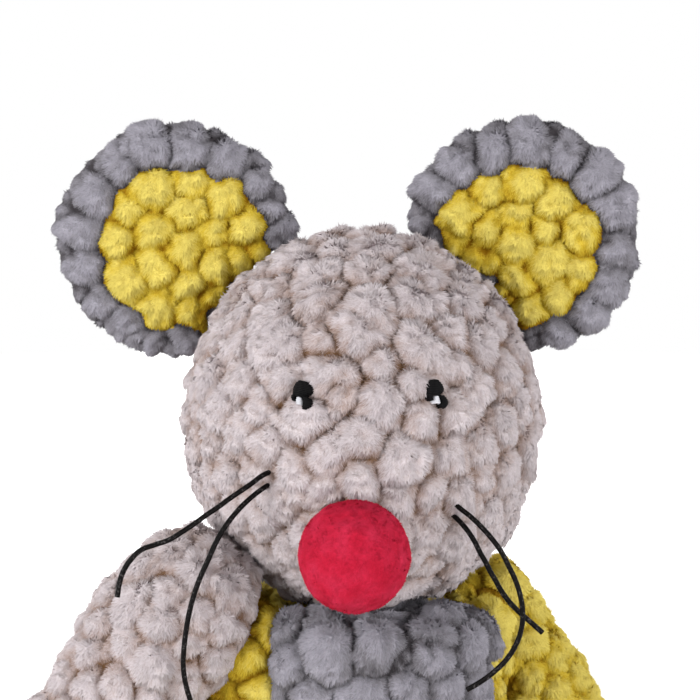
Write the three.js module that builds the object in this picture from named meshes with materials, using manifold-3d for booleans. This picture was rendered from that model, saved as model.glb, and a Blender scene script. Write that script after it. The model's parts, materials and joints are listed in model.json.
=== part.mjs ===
// Plush mouse dog toy, sitting upright: sewn panels of knobbly plush over loose stuffing,
// with a squeaker in the belly. Millimetres, +Z up. The toy faces -Y and its own left is +X.
// The origin is under the seat, on the surface that the toy sits on.
import * as THREE from "three";
import { mergeVertices } from "three/addons/utils/BufferGeometryUtils.js";
import Module from "manifold-3d";

const wasm = await Module();
wasm.setup();

const X = new THREE.Vector3(1, 0, 0);
const Y = new THREE.Vector3(0, 1, 0);
const Z = new THREE.Vector3(0, 0, 1);

// Cloth and sewing
const CLOTH = 3; // plush cloth, backing and pile together
const SEAM = 0.35; // gap between two pieces sewn edge to edge
const SOCKET_ROOM = 0.5; // room round a limb's ball root in its seat
const ROOT_SHARE = 0.8; // share of that room within which a limb's root is left whole
const MOUTH_RADIUS = 6; // open end of a limb, through which it is stuffed
const SEAT_CUT = 2; // depth to which the torso is pressed flat where it sits
const LIMB_CUT = 0.5; // depth to which a leg or the tail is pressed flat

// Torso
const TORSO_WIDTH = 94;
const TORSO_DEPTH = 86;
const TORSO_HEIGHT = 122; // to the top of the shoulders' dome, which the head sinks into
const BELLY_UP = 38; // height of the widest girth
const SHOULDER_SQUARENESS = 4; // 2 is a round dome, more is squarer
const SEAT_SQUARENESS = 3;
const PANELS_MEET_BACK = 12; // the panels meet under the seat, behind its middle
const BELLY_PANEL_ANGLE = 80; // degrees that the front panel takes, about the line where the panels meet
const BACK_PANEL_ANGLE = 115;

// Neck and head
const NECK_UP = 100; // height of the point that the head turns and nods about
const NECK_BALL = 20; // radius of the stuffed neck inside the head
const NECK_ROOM = 0.3; // room round the neck in the head
const NECK_SINK = 6; // how far the head's lowest point lies under the neck point
const NODDING_ROOM = 6.2; // crease between the head and the shoulders
const NECK_THREAD = 1.5; // diameter of the thread wound round the neck
const HEAD_ASIDE = 4; // the head leans to the toy's left
const HEAD_FORWARD = 1.6;
const HEAD_TURN = -22; // degrees: the head looks to the toy's right
const HEAD_WIDTH = 101;
const HEAD_DEPTH = 100;
const HEAD_HEIGHT = 107.5;
const MUZZLE_DROP = 20; // degrees below the horizon that the muzzle points
const MUZZLE_RISE = 7;
const MUZZLE_SPREAD = 0.5; // radians
const FACE_SEAM_BACK = 9; // the seam between face and back of head, behind the head's middle

// Nose, eyes and whiskers, on the head
const NOSE_RADIUS = 14.5;
const NOSE_SINK = 3;
const NOSE_CLOTH = 1.6;
const NOSE_DROP = 19; // degrees
const NOSE_ASIDE = -2; // degrees
const NOSE_MOUTH = 7; // radius of the gathered opening at the back of the nose
const EYE_WIDTH = 5.6;
const EYE_HEIGHT = 7.2;
const EYE_RISE = 1; // thickness of the satin stitch
const EYES_UP = 14.8;
const RIGHT_EYE_ASIDE = -15.8;
const LEFT_EYE_ASIDE = 19.3;
const GLINT_WIDTH = 1.9;
const GLINT_HEIGHT = 2.2;
const GLINT_DROP = 1.9; // below the middle of the eye
const GLINT_ASIDE = -0.5;
const WHISKER_DIAMETER = 1.4;
const WHISKER_ROOT = 3; // a whisker's line starts this far under the skin, which it is cut off at

// Ears
const EAR_RADIUS = 35;
const EAR_THICKNESS = 15;
const EAR_SQUARENESS = 3;
const EAR_DISH = 2.5; // hollow of the ear's front
const EAR_DISH_REACH = 0.7; // share of the ear's radius that the hollow spreads over
const EAR_BACK = 12; // the ear's middle plane, behind the head's middle
const EAR_ROOM = 0.4; // gap between the ear's root and the head
const EAR_FOLDS = [-15, 0, 15, 32]; // degrees of fold that the ear's root has room for
const RIGHT_EAR = { aside: -52.5, up: 50 }; // middle of the ear from the middle of the head
const LEFT_EAR = { aside: 45.5, up: 50.5 };
const PATCH_WIDTH = 43;
const PATCH_HEIGHT = 48;
const PATCH_TOWARDS_HEAD = 3.5;

// Arms, legs and tail
const RIGHT_SHOULDER = { up: 102, out: 9.5, forward: 8, lean: 39 }; // out from the torso's girth there,
const LEFT_SHOULDER = { up: 97, out: 4, forward: 0, lean: 24 }; // and degrees of lean away from hanging down
const RIGHT_ARM = { root: 15, tip: 16.5, swell: 1.5, length: 100, axis: Y, swings: [0, 20, 40] };
const LEFT_ARM = { ...RIGHT_ARM, root: 10.5, axis: Y.clone().negate() };
const FULL_BY = 0.45; // share of a limb's length by which it has swelled from its root
const LIMB_ROOM = 0.8; // gap between a limb and what it hangs beside
const HIPS_APART = 54;
const HIP_OUT = 7; // the hip point, in front of the torso's cloth
const LEG_SPLAY = 16; // degrees
const LEG = { root: 14, tip: 17.5, swell: 0.5, length: 86, axis: X.clone().negate(), swings: [0, 15, 30] };
const TAIL = { root: 7.5, tip: 3.6, swell: 0, length: 100, cloth: 1.6, mouth: 3, axis: Z, swings: [0] };
const TAIL_OUT = 2.5; // the tail's root, behind the torso's cloth
const TAIL_BEND = 26; // sideways reach of the tail's tip

// Squeaker
const SQUEAKER_UP = 54;
const SQUEAKER_RADIUS = 19;
const SQUEAKER_DISH = 6; // depth of each dished half
const SQUEAKER_WALL = 1.2;
const SQUEAKER_FOLD = 6; // height of the folding wall between the halves
const REED_RADIUS = 4;
const REED_LENGTH = 8;
const POCKET_ROOM = 0.5; // room round the squeaker in the stuffing

// Facets
const ROUND = 20; // sides of the head, the torso and the ears
const INSIDE = 12; // sides of what the cloth hides
const RINGS_PER_SIDE = 0.6; // from pole to pole of a round form
const SIDES_PER_EAR_RING = 5;
const LIMB_SIDES = 12;
const LIMB_RINGS = 4; // along a limb's middle
const ARC_STEPS = 3; // in a quarter turn
const EYE_SIDES = 12;
const GLINT_SIDES = 8;
const WHISKER_SIDES = 8;
const WHISKER_STEP = 4.2;
const THREAD_SIDES = 5;
const WEDGE_STEPS = 4; // chords across a panel's share of the girth

const FAR = 300; // past every piece
const WELD = 1e-4; // points nearer than this are one
const radians = THREE.MathUtils.degToRad;

// Solids

// A closed geometry as a solid, with its faces turned outwards.
function solid(geometry) {
  const bare = geometry.clone();
  bare.deleteAttribute("normal");
  bare.deleteAttribute("uv");
  const merged = mergeVertices(bare, WELD);
  const corners = merged.index.array;
  const kept = [];
  for (let i = 0; i < corners.length; i += 3) {
    const [a, b, c] = corners.slice(i, i + 3);
    if (a !== b && b !== c && a !== c) kept.push([a, b, c]);
  }
  const build = (triangles) =>
    new wasm.Manifold(
      new wasm.Mesh({
        numProp: 3,
        vertProperties: new Float32Array(merged.attributes.position.array),
        triVerts: new Uint32Array(triangles.flat()),
      }),
    );
  const made = build(kept);
  return made.volume() < 0 ? build(kept.map(([a, b, c]) => [a, c, b])) : made;
}

// A solid's faces as a geometry.
function geometryOf(made) {
  const { vertProperties, triVerts } = made.getMesh();
  const geometry = new THREE.BufferGeometry();
  geometry.setAttribute("position", new THREE.BufferAttribute(new Float32Array(vertProperties), 3));
  geometry.setIndex(new THREE.BufferAttribute(new Uint32Array(triVerts), 1));
  geometry.computeVertexNormals();
  return geometry;
}

// A profile of [radius, height] points turned about the Z axis.
function turned(points, sides) {
  const profile = points.map(([r, z]) => new THREE.Vector2(r, z));
  return new THREE.LatheGeometry(profile, sides).rotateX(Math.PI / 2);
}

const ringsFor = (sides) => Math.round(sides * RINGS_PER_SIDE);

// The share of a ball's radius that its flat facets keep.
const facetReach = (sides) => Math.cos(Math.PI / sides) * Math.cos(Math.PI / 2 / ringsFor(sides));

function ball(radius, centre, sides) {
  const sphere = new THREE.SphereGeometry(radius, sides, ringsFor(sides)).rotateX(Math.PI / 2);
  return solid(sphere.translate(centre.x, centre.y, centre.z));
}

// A round hollow whose facets all stand outside a radius.
const hollow = (radius, centre, sides) => ball(radius / facetReach(sides), centre, sides);

// An upright oval prism along Y, for cutting patches out of a front.
function ovalPrism(width, height, aside, up, sides) {
  const oval = new THREE.Shape().absellipse(0, 0, width / 2, height / 2, 0, 2 * Math.PI);
  const shape = { depth: 2 * FAR, bevelEnabled: false, curveSegments: sides / 2 };
  const prism = new THREE.ExtrudeGeometry(oval, shape);
  return solid(prism.rotateX(Math.PI / 2).translate(aside, FAR, up));
}

// Everything beyond a plane that faces along Y or against it, as a big block.
function blockFrom(back, towardsBack) {
  const block = new THREE.BoxGeometry(2 * FAR, 2 * FAR, 2 * FAR);
  return solid(block.translate(0, towardsBack ? back + FAR : back - FAR, 0));
}

// All that a form takes up, seen from a piece that turns past it about a hinge.
function takenWhileTurning(form, { point, axis }, degrees) {
  const passes = degrees.map((turn) => {
    const back = new THREE.Matrix4().makeRotationAxis(axis, radians(-turn));
    const moved = form().translate(-point.x, -point.y, -point.z).applyMatrix4(back);
    return solid(moved.translate(point.x, point.y, point.z));
  });
  return passes.reduce((taken, pass) => taken.add(pass));
}

const underfoot = () => solid(new THREE.BoxGeometry(2 * FAR, 2 * FAR, FAR).translate(0, 0, -FAR / 2));

// Torso

// Girth of the torso at a height: a flattened round seat, a full belly and square shoulders.
function torsoRadius(up, grow = 0) {
  const above = up > BELLY_UP;
  const reach = above ? TORSO_HEIGHT - BELLY_UP : BELLY_UP + SEAT_CUT;
  const squareness = above ? SHOULDER_SQUARENESS : SEAT_SQUARENESS;
  const t = Math.min(1, Math.abs(up - BELLY_UP) / (reach + grow));
  return (TORSO_WIDTH / 2 + grow) * Math.sqrt(1 - t ** squareness);
}

const torsoDepthAt = (up) => (torsoRadius(up) * TORSO_DEPTH) / TORSO_WIDTH;

function torsoForm(grow = 0, sides = ROUND) {
  const rings = ringsFor(sides);
  const top = TORSO_HEIGHT - BELLY_UP + grow;
  const bottom = BELLY_UP + SEAT_CUT + grow;
  const points = [];
  for (let i = 0; i <= rings; i++) {
    const swing = -Math.cos((i * Math.PI) / rings);
    const up = BELLY_UP + swing * (swing < 0 ? bottom : top);
    points.push([i % rings ? torsoRadius(up, grow) : 0, up]);
  }
  const flatter = (TORSO_DEPTH / 2 + grow) / (TORSO_WIDTH / 2 + grow);
  return turned(points, sides).scale(1, flatter, 1);
}

// Head

const neckPoint = new THREE.Vector3(HEAD_ASIDE, -HEAD_FORWARD, NECK_UP);
const headCentre = neckPoint.clone().setZ(NECK_UP + HEAD_HEIGHT / 2 - NECK_SINK);
const headGroup = new THREE.Group();
headGroup.position.copy(headCentre);
headGroup.rotation.z = radians(HEAD_TURN);
headGroup.updateMatrixWorld(true);

// A direction from the middle of the head, by degrees below the horizon and towards the toy's left.
function facing(drop, aside) {
  const level = Math.cos(radians(drop));
  const turn = radians(aside);
  return new THREE.Vector3(Math.sin(turn) * level, -Math.cos(turn) * level, -Math.sin(radians(drop)));
}

const muzzle = facing(MUZZLE_DROP, NOSE_ASIDE);

// A point of the head's skin: an egg with the muzzle swelling out of its lower front.
function headPoint(direction, grow = 0) {
  const size = new THREE.Vector3(HEAD_WIDTH, HEAD_DEPTH, HEAD_HEIGHT).multiplyScalar(0.5).addScalar(grow);
  const swell = MUZZLE_RISE * Math.exp(-((direction.angleTo(muzzle) / MUZZLE_SPREAD) ** 2));
  return direction.clone().multiply(size).addScaledVector(muzzle, swell);
}

function headForm(grow = 0, sides = ROUND) {
  const geometry = new THREE.SphereGeometry(1, sides, ringsFor(sides)).rotateX(Math.PI / 2);
  const place = geometry.getAttribute("position");
  const point = new THREE.Vector3();
  for (let i = 0; i < place.count; i++) {
    const on = headPoint(point.fromBufferAttribute(place, i).normalize(), grow);
    place.setXYZ(i, on.x, on.y, on.z);
  }
  return geometry;
}

// The head's form where it sits on the toy, for cutting what lies against it.
const headInPlace = (grow, sides) => solid(headForm(grow, sides).applyMatrix4(headGroup.matrixWorld));

// Materials

const cloth = (colour) => new THREE.MeshStandardMaterial({ color: colour, roughness: 0.95, metalness: 0 });
const smooth = (colour) => new THREE.MeshStandardMaterial({ color: colour, roughness: 0.45, metalness: 0 });
const looks = {
  beige: cloth(0xb3a29e),
  grey: cloth(0x85828a),
  yellow: cloth(0xc4ab45),
  red: cloth(0xc6213e),
  stuffing: cloth(0xf2f0ea),
  thread: cloth(0xa39389),
  black: smooth(0x171516),
  white: smooth(0xe9e9ec),
  plastic: smooth(0xe6e4dc),
};

function piece(name, made, look) {
  const mesh = new THREE.Mesh(geometryOf(made), look.clone());
  mesh.name = name;
  return mesh;
}

// Adds a piece made in the toy's own frame to a group that is placed in it.
function hang(group, name, made, look) {
  const mesh = piece(name, made, look);
  mesh.geometry.applyMatrix4(group.matrixWorld.clone().invert());
  group.add(mesh);
}

const toy = new THREE.Group();

// Where the limbs are sewn on

function shoulder(side, { up, out, forward }) {
  return new THREE.Vector3(side * (torsoRadius(up) + out), -forward, up);
}

const rightShoulder = shoulder(-1, RIGHT_SHOULDER);
const leftShoulder = shoulder(1, LEFT_SHOULDER);
const hipUp = LEG.root - LIMB_CUT;
const hipFront = torsoDepthAt(hipUp) * Math.sqrt(1 - (HIPS_APART / 2 / torsoRadius(hipUp)) ** 2) + HIP_OUT;
const hip = (side) => new THREE.Vector3((side * HIPS_APART) / 2, -hipFront, hipUp);
const tailUp = TAIL.root - LIMB_CUT;
const tailRoot = new THREE.Vector3(0, torsoDepthAt(tailUp) + TAIL_OUT, tailUp);

// The round seat in the torso that a limb's ball root sits in.
const seat = (radius, at) => hollow(radius + SOCKET_ROOM, at, LIMB_SIDES);

function limbSeats() {
  const arms = seat(RIGHT_ARM.root, rightShoulder).add(seat(LEFT_ARM.root, leftShoulder));
  const legs = seat(LEG.root, hip(-1)).add(seat(LEG.root, hip(1)));
  return arms.add(legs).add(seat(TAIL.root, tailRoot));
}

// What a limb has to lie clear of as it swings: the torso outside the limb's own seat,
// the head and the floor.
function besideLimb({ root, axis, swings }, point) {
  const torso = takenWhileTurning(() => torsoForm(LIMB_ROOM), { point, axis }, swings);
  const turningRoot = ball(root + ROOT_SHARE * SOCKET_ROOM, point, ROUND);
  return torso.subtract(turningRoot).add(headInPlace(LIMB_ROOM)).add(underfoot());
}

// Torso panels and stuffing

// The torso dished under the head, with the neck standing in the dish.
function torsoSolid(grow, sides) {
  const dished = solid(torsoForm(grow, sides)).subtract(headInPlace(NODDING_ROOM - grow, sides));
  return dished.add(ball(NECK_BALL + grow, neckPoint, sides));
}

// A wedge of the torso between two bearings, in degrees round from the front.
function wedge(from, to) {
  const outline = new THREE.Shape().moveTo(0, 0);
  for (let i = 0; i <= WEDGE_STEPS; i++) {
    const bearing = radians(from + ((to - from) * i) / WEDGE_STEPS);
    outline.lineTo(2 * FAR * Math.sin(bearing), -2 * FAR * Math.cos(bearing));
  }
  outline.closePath();
  const prism = new THREE.ExtrudeGeometry(outline, { depth: 2 * FAR, bevelEnabled: false });
  return solid(prism.translate(0, PANELS_MEET_BACK, -FAR));
}

// The gap left by a seam that runs up the torso at a bearing.
function seamGap(bearing) {
  const slab = new THREE.BoxGeometry(SEAM, 2 * FAR, 2 * FAR).translate(0, -FAR, 0);
  return solid(slab.rotateZ(radians(bearing)).translate(0, PANELS_MEET_BACK, 0));
}

function torsoPieces() {
  const front = BELLY_PANEL_ANGLE / 2;
  const back = 180 - BACK_PANEL_ANGLE / 2;
  const seats = limbSeats();
  let shell = torsoSolid(0, ROUND).subtract(torsoSolid(-CLOTH, INSIDE));
  shell = shell.subtract(seats).subtract(underfoot());
  for (const bearing of [front, back, -front, -back]) {
    shell = shell.subtract(seamGap(bearing));
  }
  const panels = [
    ["belly_panel", -front, front, looks.grey],
    ["left_side_panel", front, back, looks.yellow],
    ["back_panel", back, 360 - back, looks.grey],
    ["right_side_panel", -back, -front, looks.yellow],
  ];
  for (const [name, from, to, look] of panels) {
    toy.add(piece(name, shell.intersect(wedge(from, to)), look));
  }
  const stuffing = torsoSolid(-CLOTH - SEAM, INSIDE).subtract(seats).subtract(squeakerPocket());
  toy.add(piece("front_torso_stuffing", stuffing.intersect(blockFrom(-SEAM / 2, false)), looks.stuffing));
  toy.add(piece("back_torso_stuffing", stuffing.intersect(blockFrom(SEAM / 2, true)), looks.stuffing));
}

// Squeaker: two dished halves with a folding wall between them, and the reed in the back half

function squeakerPocket() {
  const half = SQUEAKER_FOLD / 2 + SQUEAKER_DISH + POCKET_ROOM;
  const radius = SQUEAKER_RADIUS + POCKET_ROOM;
  const points = [[0, -half], [radius, -half], [radius, half], [0, half]];
  return solid(turned(points, LIMB_SIDES).rotateX(Math.PI / 2).translate(0, 0, SQUEAKER_UP));
}

// A dish with its rim down on z = 0, closed at its crown or with a hole there.
function squeakerDish(hole) {
  const outside = [];
  const inside = [];
  for (let i = 0; i <= ARC_STEPS; i++) {
    const t = (i * Math.PI) / 2 / ARC_STEPS;
    const across = SQUEAKER_RADIUS - hole;
    const [out, up] = [Math.sin(t), Math.cos(t)];
    outside.push([hole + across * out, SQUEAKER_DISH * up]);
    inside.unshift([hole + (across - SQUEAKER_WALL) * out, (SQUEAKER_DISH - SQUEAKER_WALL) * up]);
  }
  const closing = hole ? [outside[0]] : [];
  return turned([...outside, ...inside, ...closing], LIMB_SIDES);
}

// The folding wall: one pleat that points inwards.
function squeakerWall() {
  const end = SQUEAKER_FOLD / 2 - SEAM;
  const fold = SQUEAKER_RADIUS - SQUEAKER_FOLD / 2;
  const points = [
    [SQUEAKER_RADIUS, -end],
    [fold, 0],
    [SQUEAKER_RADIUS, end],
    [SQUEAKER_RADIUS - SQUEAKER_WALL, end],
    [fold - SQUEAKER_WALL, 0],
    [SQUEAKER_RADIUS - SQUEAKER_WALL, -end],
    [SQUEAKER_RADIUS, -end],
  ];
  return turned(points, LIMB_SIDES);
}

// A tube through the back half, held by a flange inside.
function reedPlug() {
  const bore = REED_RADIUS / 2;
  const body = REED_RADIUS - SEAM;
  const flange = REED_RADIUS + SQUEAKER_WALL;
  const crown = SQUEAKER_FOLD / 2 + SQUEAKER_DISH;
  const under = crown - SQUEAKER_WALL - SEAM;
  const points = [
    [bore, crown],
    [body, crown],
    [body, under],
    [flange, under],
    [flange, under - SQUEAKER_WALL],
    [body, under - SQUEAKER_WALL],
    [body, crown - REED_LENGTH],
    [bore, crown - REED_LENGTH],
    [bore, crown],
  ];
  return turned(points, LIMB_SIDES);
}

function squeakerPieces() {
  const group = new THREE.Group();
  group.position.set(0, 0, SQUEAKER_UP);
  group.rotation.x = -Math.PI / 2; // the reed faces the toy's back
  const rim = SQUEAKER_FOLD / 2;
  const base = squeakerDish(REED_RADIUS).translate(0, 0, rim);
  const cap = squeakerDish(0).rotateX(Math.PI).translate(0, 0, -rim);
  group.add(piece("squeaker_base", solid(base), looks.plastic));
  group.add(piece("squeaker_cap", solid(cap), looks.plastic));
  group.add(piece("squeaker_bellows", solid(squeakerWall()), looks.plastic));
  group.add(piece("squeaker_reed", solid(reedPlug()), looks.plastic));
  toy.add(group);
}

// Neck thread: a ring lying in the dish round the neck

function neckThread() {
  const around = NECK_BALL + SOCKET_ROOM + NECK_THREAD / 2;
  const wide = HEAD_WIDTH / 2 + NODDING_ROOM;
  const high = HEAD_HEIGHT / 2 + NODDING_ROOM;
  const dish = headCentre.z - high * facetReach(ROUND) * Math.sqrt(1 - (around / wide) ** 2);
  const ring = new THREE.TorusGeometry(around, NECK_THREAD / 2, THREAD_SIDES, ROUND);
  ring.translate(neckPoint.x, neckPoint.y, dish + SEAM + NECK_THREAD / 2);
  toy.add(piece("neck_thread", solid(ring), looks.thread));
}

// Head pieces

// The head with the hollow that the neck fills.
function headSolid(grow, sides) {
  const neck = neckPoint.clone().sub(headCentre);
  return solid(headForm(grow, sides)).subtract(hollow(NECK_BALL + NECK_ROOM, neck, sides));
}

function headPieces() {
  const shell = headSolid(0, ROUND).subtract(solid(headForm(-CLOTH, INSIDE)));
  const front = blockFrom(FACE_SEAM_BACK - SEAM / 2, false);
  const back = blockFrom(FACE_SEAM_BACK + SEAM / 2, true);
  headGroup.add(piece("face_panel", shell.intersect(front), looks.beige));
  headGroup.add(piece("back_of_head_panel", shell.intersect(back), looks.beige));
  headGroup.add(piece("head_stuffing", headSolid(-CLOTH - SEAM, INSIDE), looks.stuffing));
}

// A ball of red fleece gathered at the back, sewn on the end of the muzzle.
function nosePieces() {
  const toward = facing(NOSE_DROP, NOSE_ASIDE);
  const centre = headPoint(toward).addScaledVector(toward, NOSE_RADIUS - NOSE_SINK);
  const face = solid(headForm(SEAM));
  const round = { root: NOSE_RADIUS, tip: NOSE_RADIUS, swell: 0, length: NOSE_RADIUS };
  const make = (points) => {
    const geometry = turned(points, LIMB_SIDES);
    geometry.applyQuaternion(new THREE.Quaternion().setFromUnitVectors(Z, toward));
    return solid(geometry.translate(centre.x, centre.y, centre.z)).subtract(face);
  };
  const outside = limbProfile(round, 0, NOSE_MOUTH).reverse();
  const inside = limbProfile(round, -NOSE_CLOTH, NOSE_MOUTH);
  headGroup.add(piece("nose_cover", make([...outside, ...inside]), looks.red));
  headGroup.add(piece("nose_stuffing", make(limbProfile(round, -NOSE_CLOTH - SEAM)), looks.stuffing));
}

// A satin-stitched eye lying on the face, with a pale glint let into it.
function eyePieces(name, aside) {
  const layer = solid(headForm(SEAM + EYE_RISE)).subtract(solid(headForm(SEAM)));
  const stitched = layer.intersect(blockFrom(0, false));
  const oval = ovalPrism(EYE_WIDTH, EYE_HEIGHT, aside, EYES_UP, EYE_SIDES);
  const spot = (gap) => {
    const [width, height] = [GLINT_WIDTH + 2 * gap, GLINT_HEIGHT + 2 * gap];
    return ovalPrism(width, height, aside + GLINT_ASIDE, EYES_UP - GLINT_DROP, GLINT_SIDES);
  };
  headGroup.add(piece(`${name}_eye`, stitched.intersect(oval).subtract(spot(SEAM)), looks.black));
  headGroup.add(piece(`${name}_eye_glint`, stitched.intersect(spot(0)), looks.white));
}

// Whiskers: waxed cords out of the cheeks. Each route is a list of places from where the cord
// leaves the face.
const WHISKERS = [
  {
    name: "right_upper_whisker",
    drop: 6.5,
    aside: -31,
    route: [
      [0, 0, 0], [-2.4, -2.6, -1.4], [-5, -5, -2.8], [-7.8, -7, -4.4],
      [-10.6, -8.8, -6.2], [-13.6, -10.2, -8], [-16.6, -11.4, -10], [-19.8, -12.4, -12],
      [-23, -13.2, -13.8], [-26.4, -14.2, -14.8], [-29.8, -14.6, -16], [-32.4, -14.6, -18.4],
      [-34.4, -14.4, -21.4], [-35.6, -14.2, -24.8], [-36.2, -14, -28.4],
    ],
  },
  {
    name: "right_lower_whisker",
    drop: 10,
    aside: -31,
    route: [
      [0, 0, 0], [-3.2, -3.2, -2], [-6.2, -6, -4.6], [-9.2, -8, -8.2],
      [-11.6, -9.6, -12.2], [-13.6, -10.8, -16.6], [-15.6, -11.6, -21], [-17.2, -12, -25.6],
      [-18.4, -12.2, -30.2], [-19.2, -12.2, -34.8], [-19.8, -12, -39.6], [-20, -11.6, -44.4],
      [-19.4, -11.2, -49.2], [-18.2, -10.8, -53.8], [-16.8, -10.4, -58.4],
    ],
  },
  {
    name: "left_upper_whisker",
    drop: 16,
    aside: 31,
    route: [
      [0, 0, 0], [2.5, -3.4, -1.4], [5, -6, -3.4], [7.6, -8, -6], [10, -9, -9.2],
      [12, -9.6, -13], [13.8, -10, -16.8], [15.1, -10, -21], [15.7, -10, -25.2], [15.4, -9.8, -29.6],
      [14, -9.6, -33.9], [11.7, -9.2, -37.8], [8.7, -8.8, -41.1], [5.3, -8.4, -43.9], [1.6, -8, -46.3],
    ],
  },
  {
    name: "left_lower_whisker",
    drop: 19.5,
    aside: 31,
    route: [
      [0, 0, 0], [1.4, -2, -1.2], [2.8, -3.6, -2.8], [4.2, -4.4, -5], [5.4, -5, -7.4],
      [6.8, -5.4, -9.8], [8, -5.6, -12.2], [9.4, -5.6, -14.6], [10.6, -5.8, -16.8], [12.2, -5.8, -19.2],
      [13.8, -5.8, -21.2], [15.8, -5.8, -23.2], [17.8, -5.8, -25], [19.8, -5.8, -26.8], [21.8, -5.8, -28.6],
    ],
  },
];

function whiskerPieces() {
  for (const { name, drop, aside, route } of WHISKERS) {
    const out = facing(drop, aside);
    const exit = headPoint(out, SEAM + WHISKER_DIAMETER / 2);
    const places = route.map((place) => new THREE.Vector3(...place).add(exit));
    const line = new THREE.CatmullRomCurve3([headPoint(out, -WHISKER_ROOT), ...places]);
    const section = new THREE.Shape().absarc(0, 0, WHISKER_DIAMETER / 2, 0, 2 * Math.PI);
    const steps = Math.round(line.getLength() / WHISKER_STEP);
    const along = { steps, extrudePath: line, curveSegments: WHISKER_SIDES / 2, bevelEnabled: false };
    const tube = new THREE.ExtrudeGeometry(section, along);
    headGroup.add(piece(name, solid(tube).subtract(solid(headForm(SEAM))), looks.black));
  }
}

// Ears: a grey front ring and back with a yellow patch let into the front, round a thin pad

// A puffed disc about the origin, facing -Y, hollowed a little in front.
function earForm(grow = 0, sides = ROUND) {
  const steps = Math.round(sides / SIDES_PER_EAR_RING);
  const radius = EAR_RADIUS + grow;
  const half = EAR_THICKNESS / 2 + grow;
  const front = [];
  const back = [];
  for (let i = 0; i <= steps; i++) {
    const out = Math.sin((i * Math.PI) / 2 / steps);
    const crown = half * Math.sqrt(1 - out ** EAR_SQUARENESS);
    const dish = EAR_DISH * Math.max(0, 1 - (out / EAR_DISH_REACH) ** 2);
    front.push([radius * out, dish - crown]);
    back.unshift([radius * out, crown]);
  }
  return turned([...front, ...back.slice(1)], sides).rotateX(-Math.PI / 2);
}

// The line that an ear folds about, along its root, just outside the head.
function earHinge({ aside, up }) {
  const outward = new THREE.Vector3(aside, 0, up).normalize();
  const level = Math.sqrt(1 - (EAR_BACK / (HEAD_DEPTH / 2)) ** 2);
  const across = outward.x / ((HEAD_WIDTH / 2) * level);
  const upward = outward.z / ((HEAD_HEIGHT / 2) * level);
  const reach = 1 / Math.hypot(across, upward) + EAR_THICKNESS / 2 + EAR_ROOM;
  const point = outward.clone().multiplyScalar(reach).setY(EAR_BACK);
  return { point, axis: new THREE.Vector3().crossVectors(outward, Y).normalize() };
}

function earPieces(name, place) {
  const centre = new THREE.Vector3(place.aside, EAR_BACK, place.up);
  const outward = new THREE.Vector3(place.aside, 0, place.up).normalize();
  const put = (geometry) => {
    geometry.applyQuaternion(new THREE.Quaternion().setFromUnitVectors(Z, outward));
    return solid(geometry.translate(centre.x, centre.y, centre.z));
  };
  const head = takenWhileTurning(() => headForm(EAR_ROOM), earHinge(place), EAR_FOLDS);
  const shell = put(earForm()).subtract(put(earForm(-CLOTH, INSIDE))).subtract(head);
  const front = shell.intersect(blockFrom(EAR_BACK - SEAM / 2, false));
  const back = shell.intersect(blockFrom(EAR_BACK + SEAM / 2, true));
  const middle = centre.clone().addScaledVector(outward, -PATCH_TOWARDS_HEAD);
  const hole = ovalPrism(PATCH_WIDTH + 2 * SEAM, PATCH_HEIGHT + 2 * SEAM, middle.x, middle.z, INSIDE);
  const patch = ovalPrism(PATCH_WIDTH, PATCH_HEIGHT, middle.x, middle.z, INSIDE);
  headGroup.add(piece(`${name}_ear_front_ring`, front.subtract(hole), looks.grey));
  headGroup.add(piece(`${name}_ear_patch`, front.intersect(patch), looks.yellow));
  headGroup.add(piece(`${name}_ear_back`, back, looks.grey));
  const pad = put(earForm(-CLOTH - SEAM, INSIDE)).subtract(head);
  headGroup.add(piece(`${name}_ear_pad`, pad, looks.stuffing));
}

// Arms and legs

// How thick a limb is at a share of the way to its round tip.
function limbRadius({ root, tip, swell }, t) {
  const taper = (tip - root) * THREE.MathUtils.smoothstep(t, 0, FULL_BY);
  return root + taper + swell * Math.sin(Math.PI * t) ** 2;
}

// Half a section of a limb, as [radius, distance] from its root to its tip: a ball root about the
// start, left open by a mouth's radius, a swelling middle and a round tip.
function limbProfile(sizes, grow, mouth = 0) {
  const { root, tip, length } = sizes;
  const points = [];
  const ballRadius = root + grow;
  const start = -Math.acos(mouth / ballRadius);
  const middle = length - tip;
  const rings = middle > 0 ? LIMB_RINGS : 0;
  for (let i = 0; i < ARC_STEPS; i++) {
    const turn = start * (1 - i / ARC_STEPS);
    points.push([mouth || i ? ballRadius * Math.cos(turn) : 0, ballRadius * Math.sin(turn)]);
  }
  for (let i = 0; i <= rings; i++) {
    const t = rings ? i / rings : 0;
    points.push([limbRadius(sizes, t) + grow, t * middle]);
  }
  for (let i = 1; i <= ARC_STEPS; i++) {
    const turn = (i * Math.PI) / 2 / ARC_STEPS;
    const radius = i < ARC_STEPS ? (tip + grow) * Math.cos(turn) : 0;
    points.push([radius, middle + (tip + grow) * Math.sin(turn)]);
  }
  return points;
}

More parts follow.
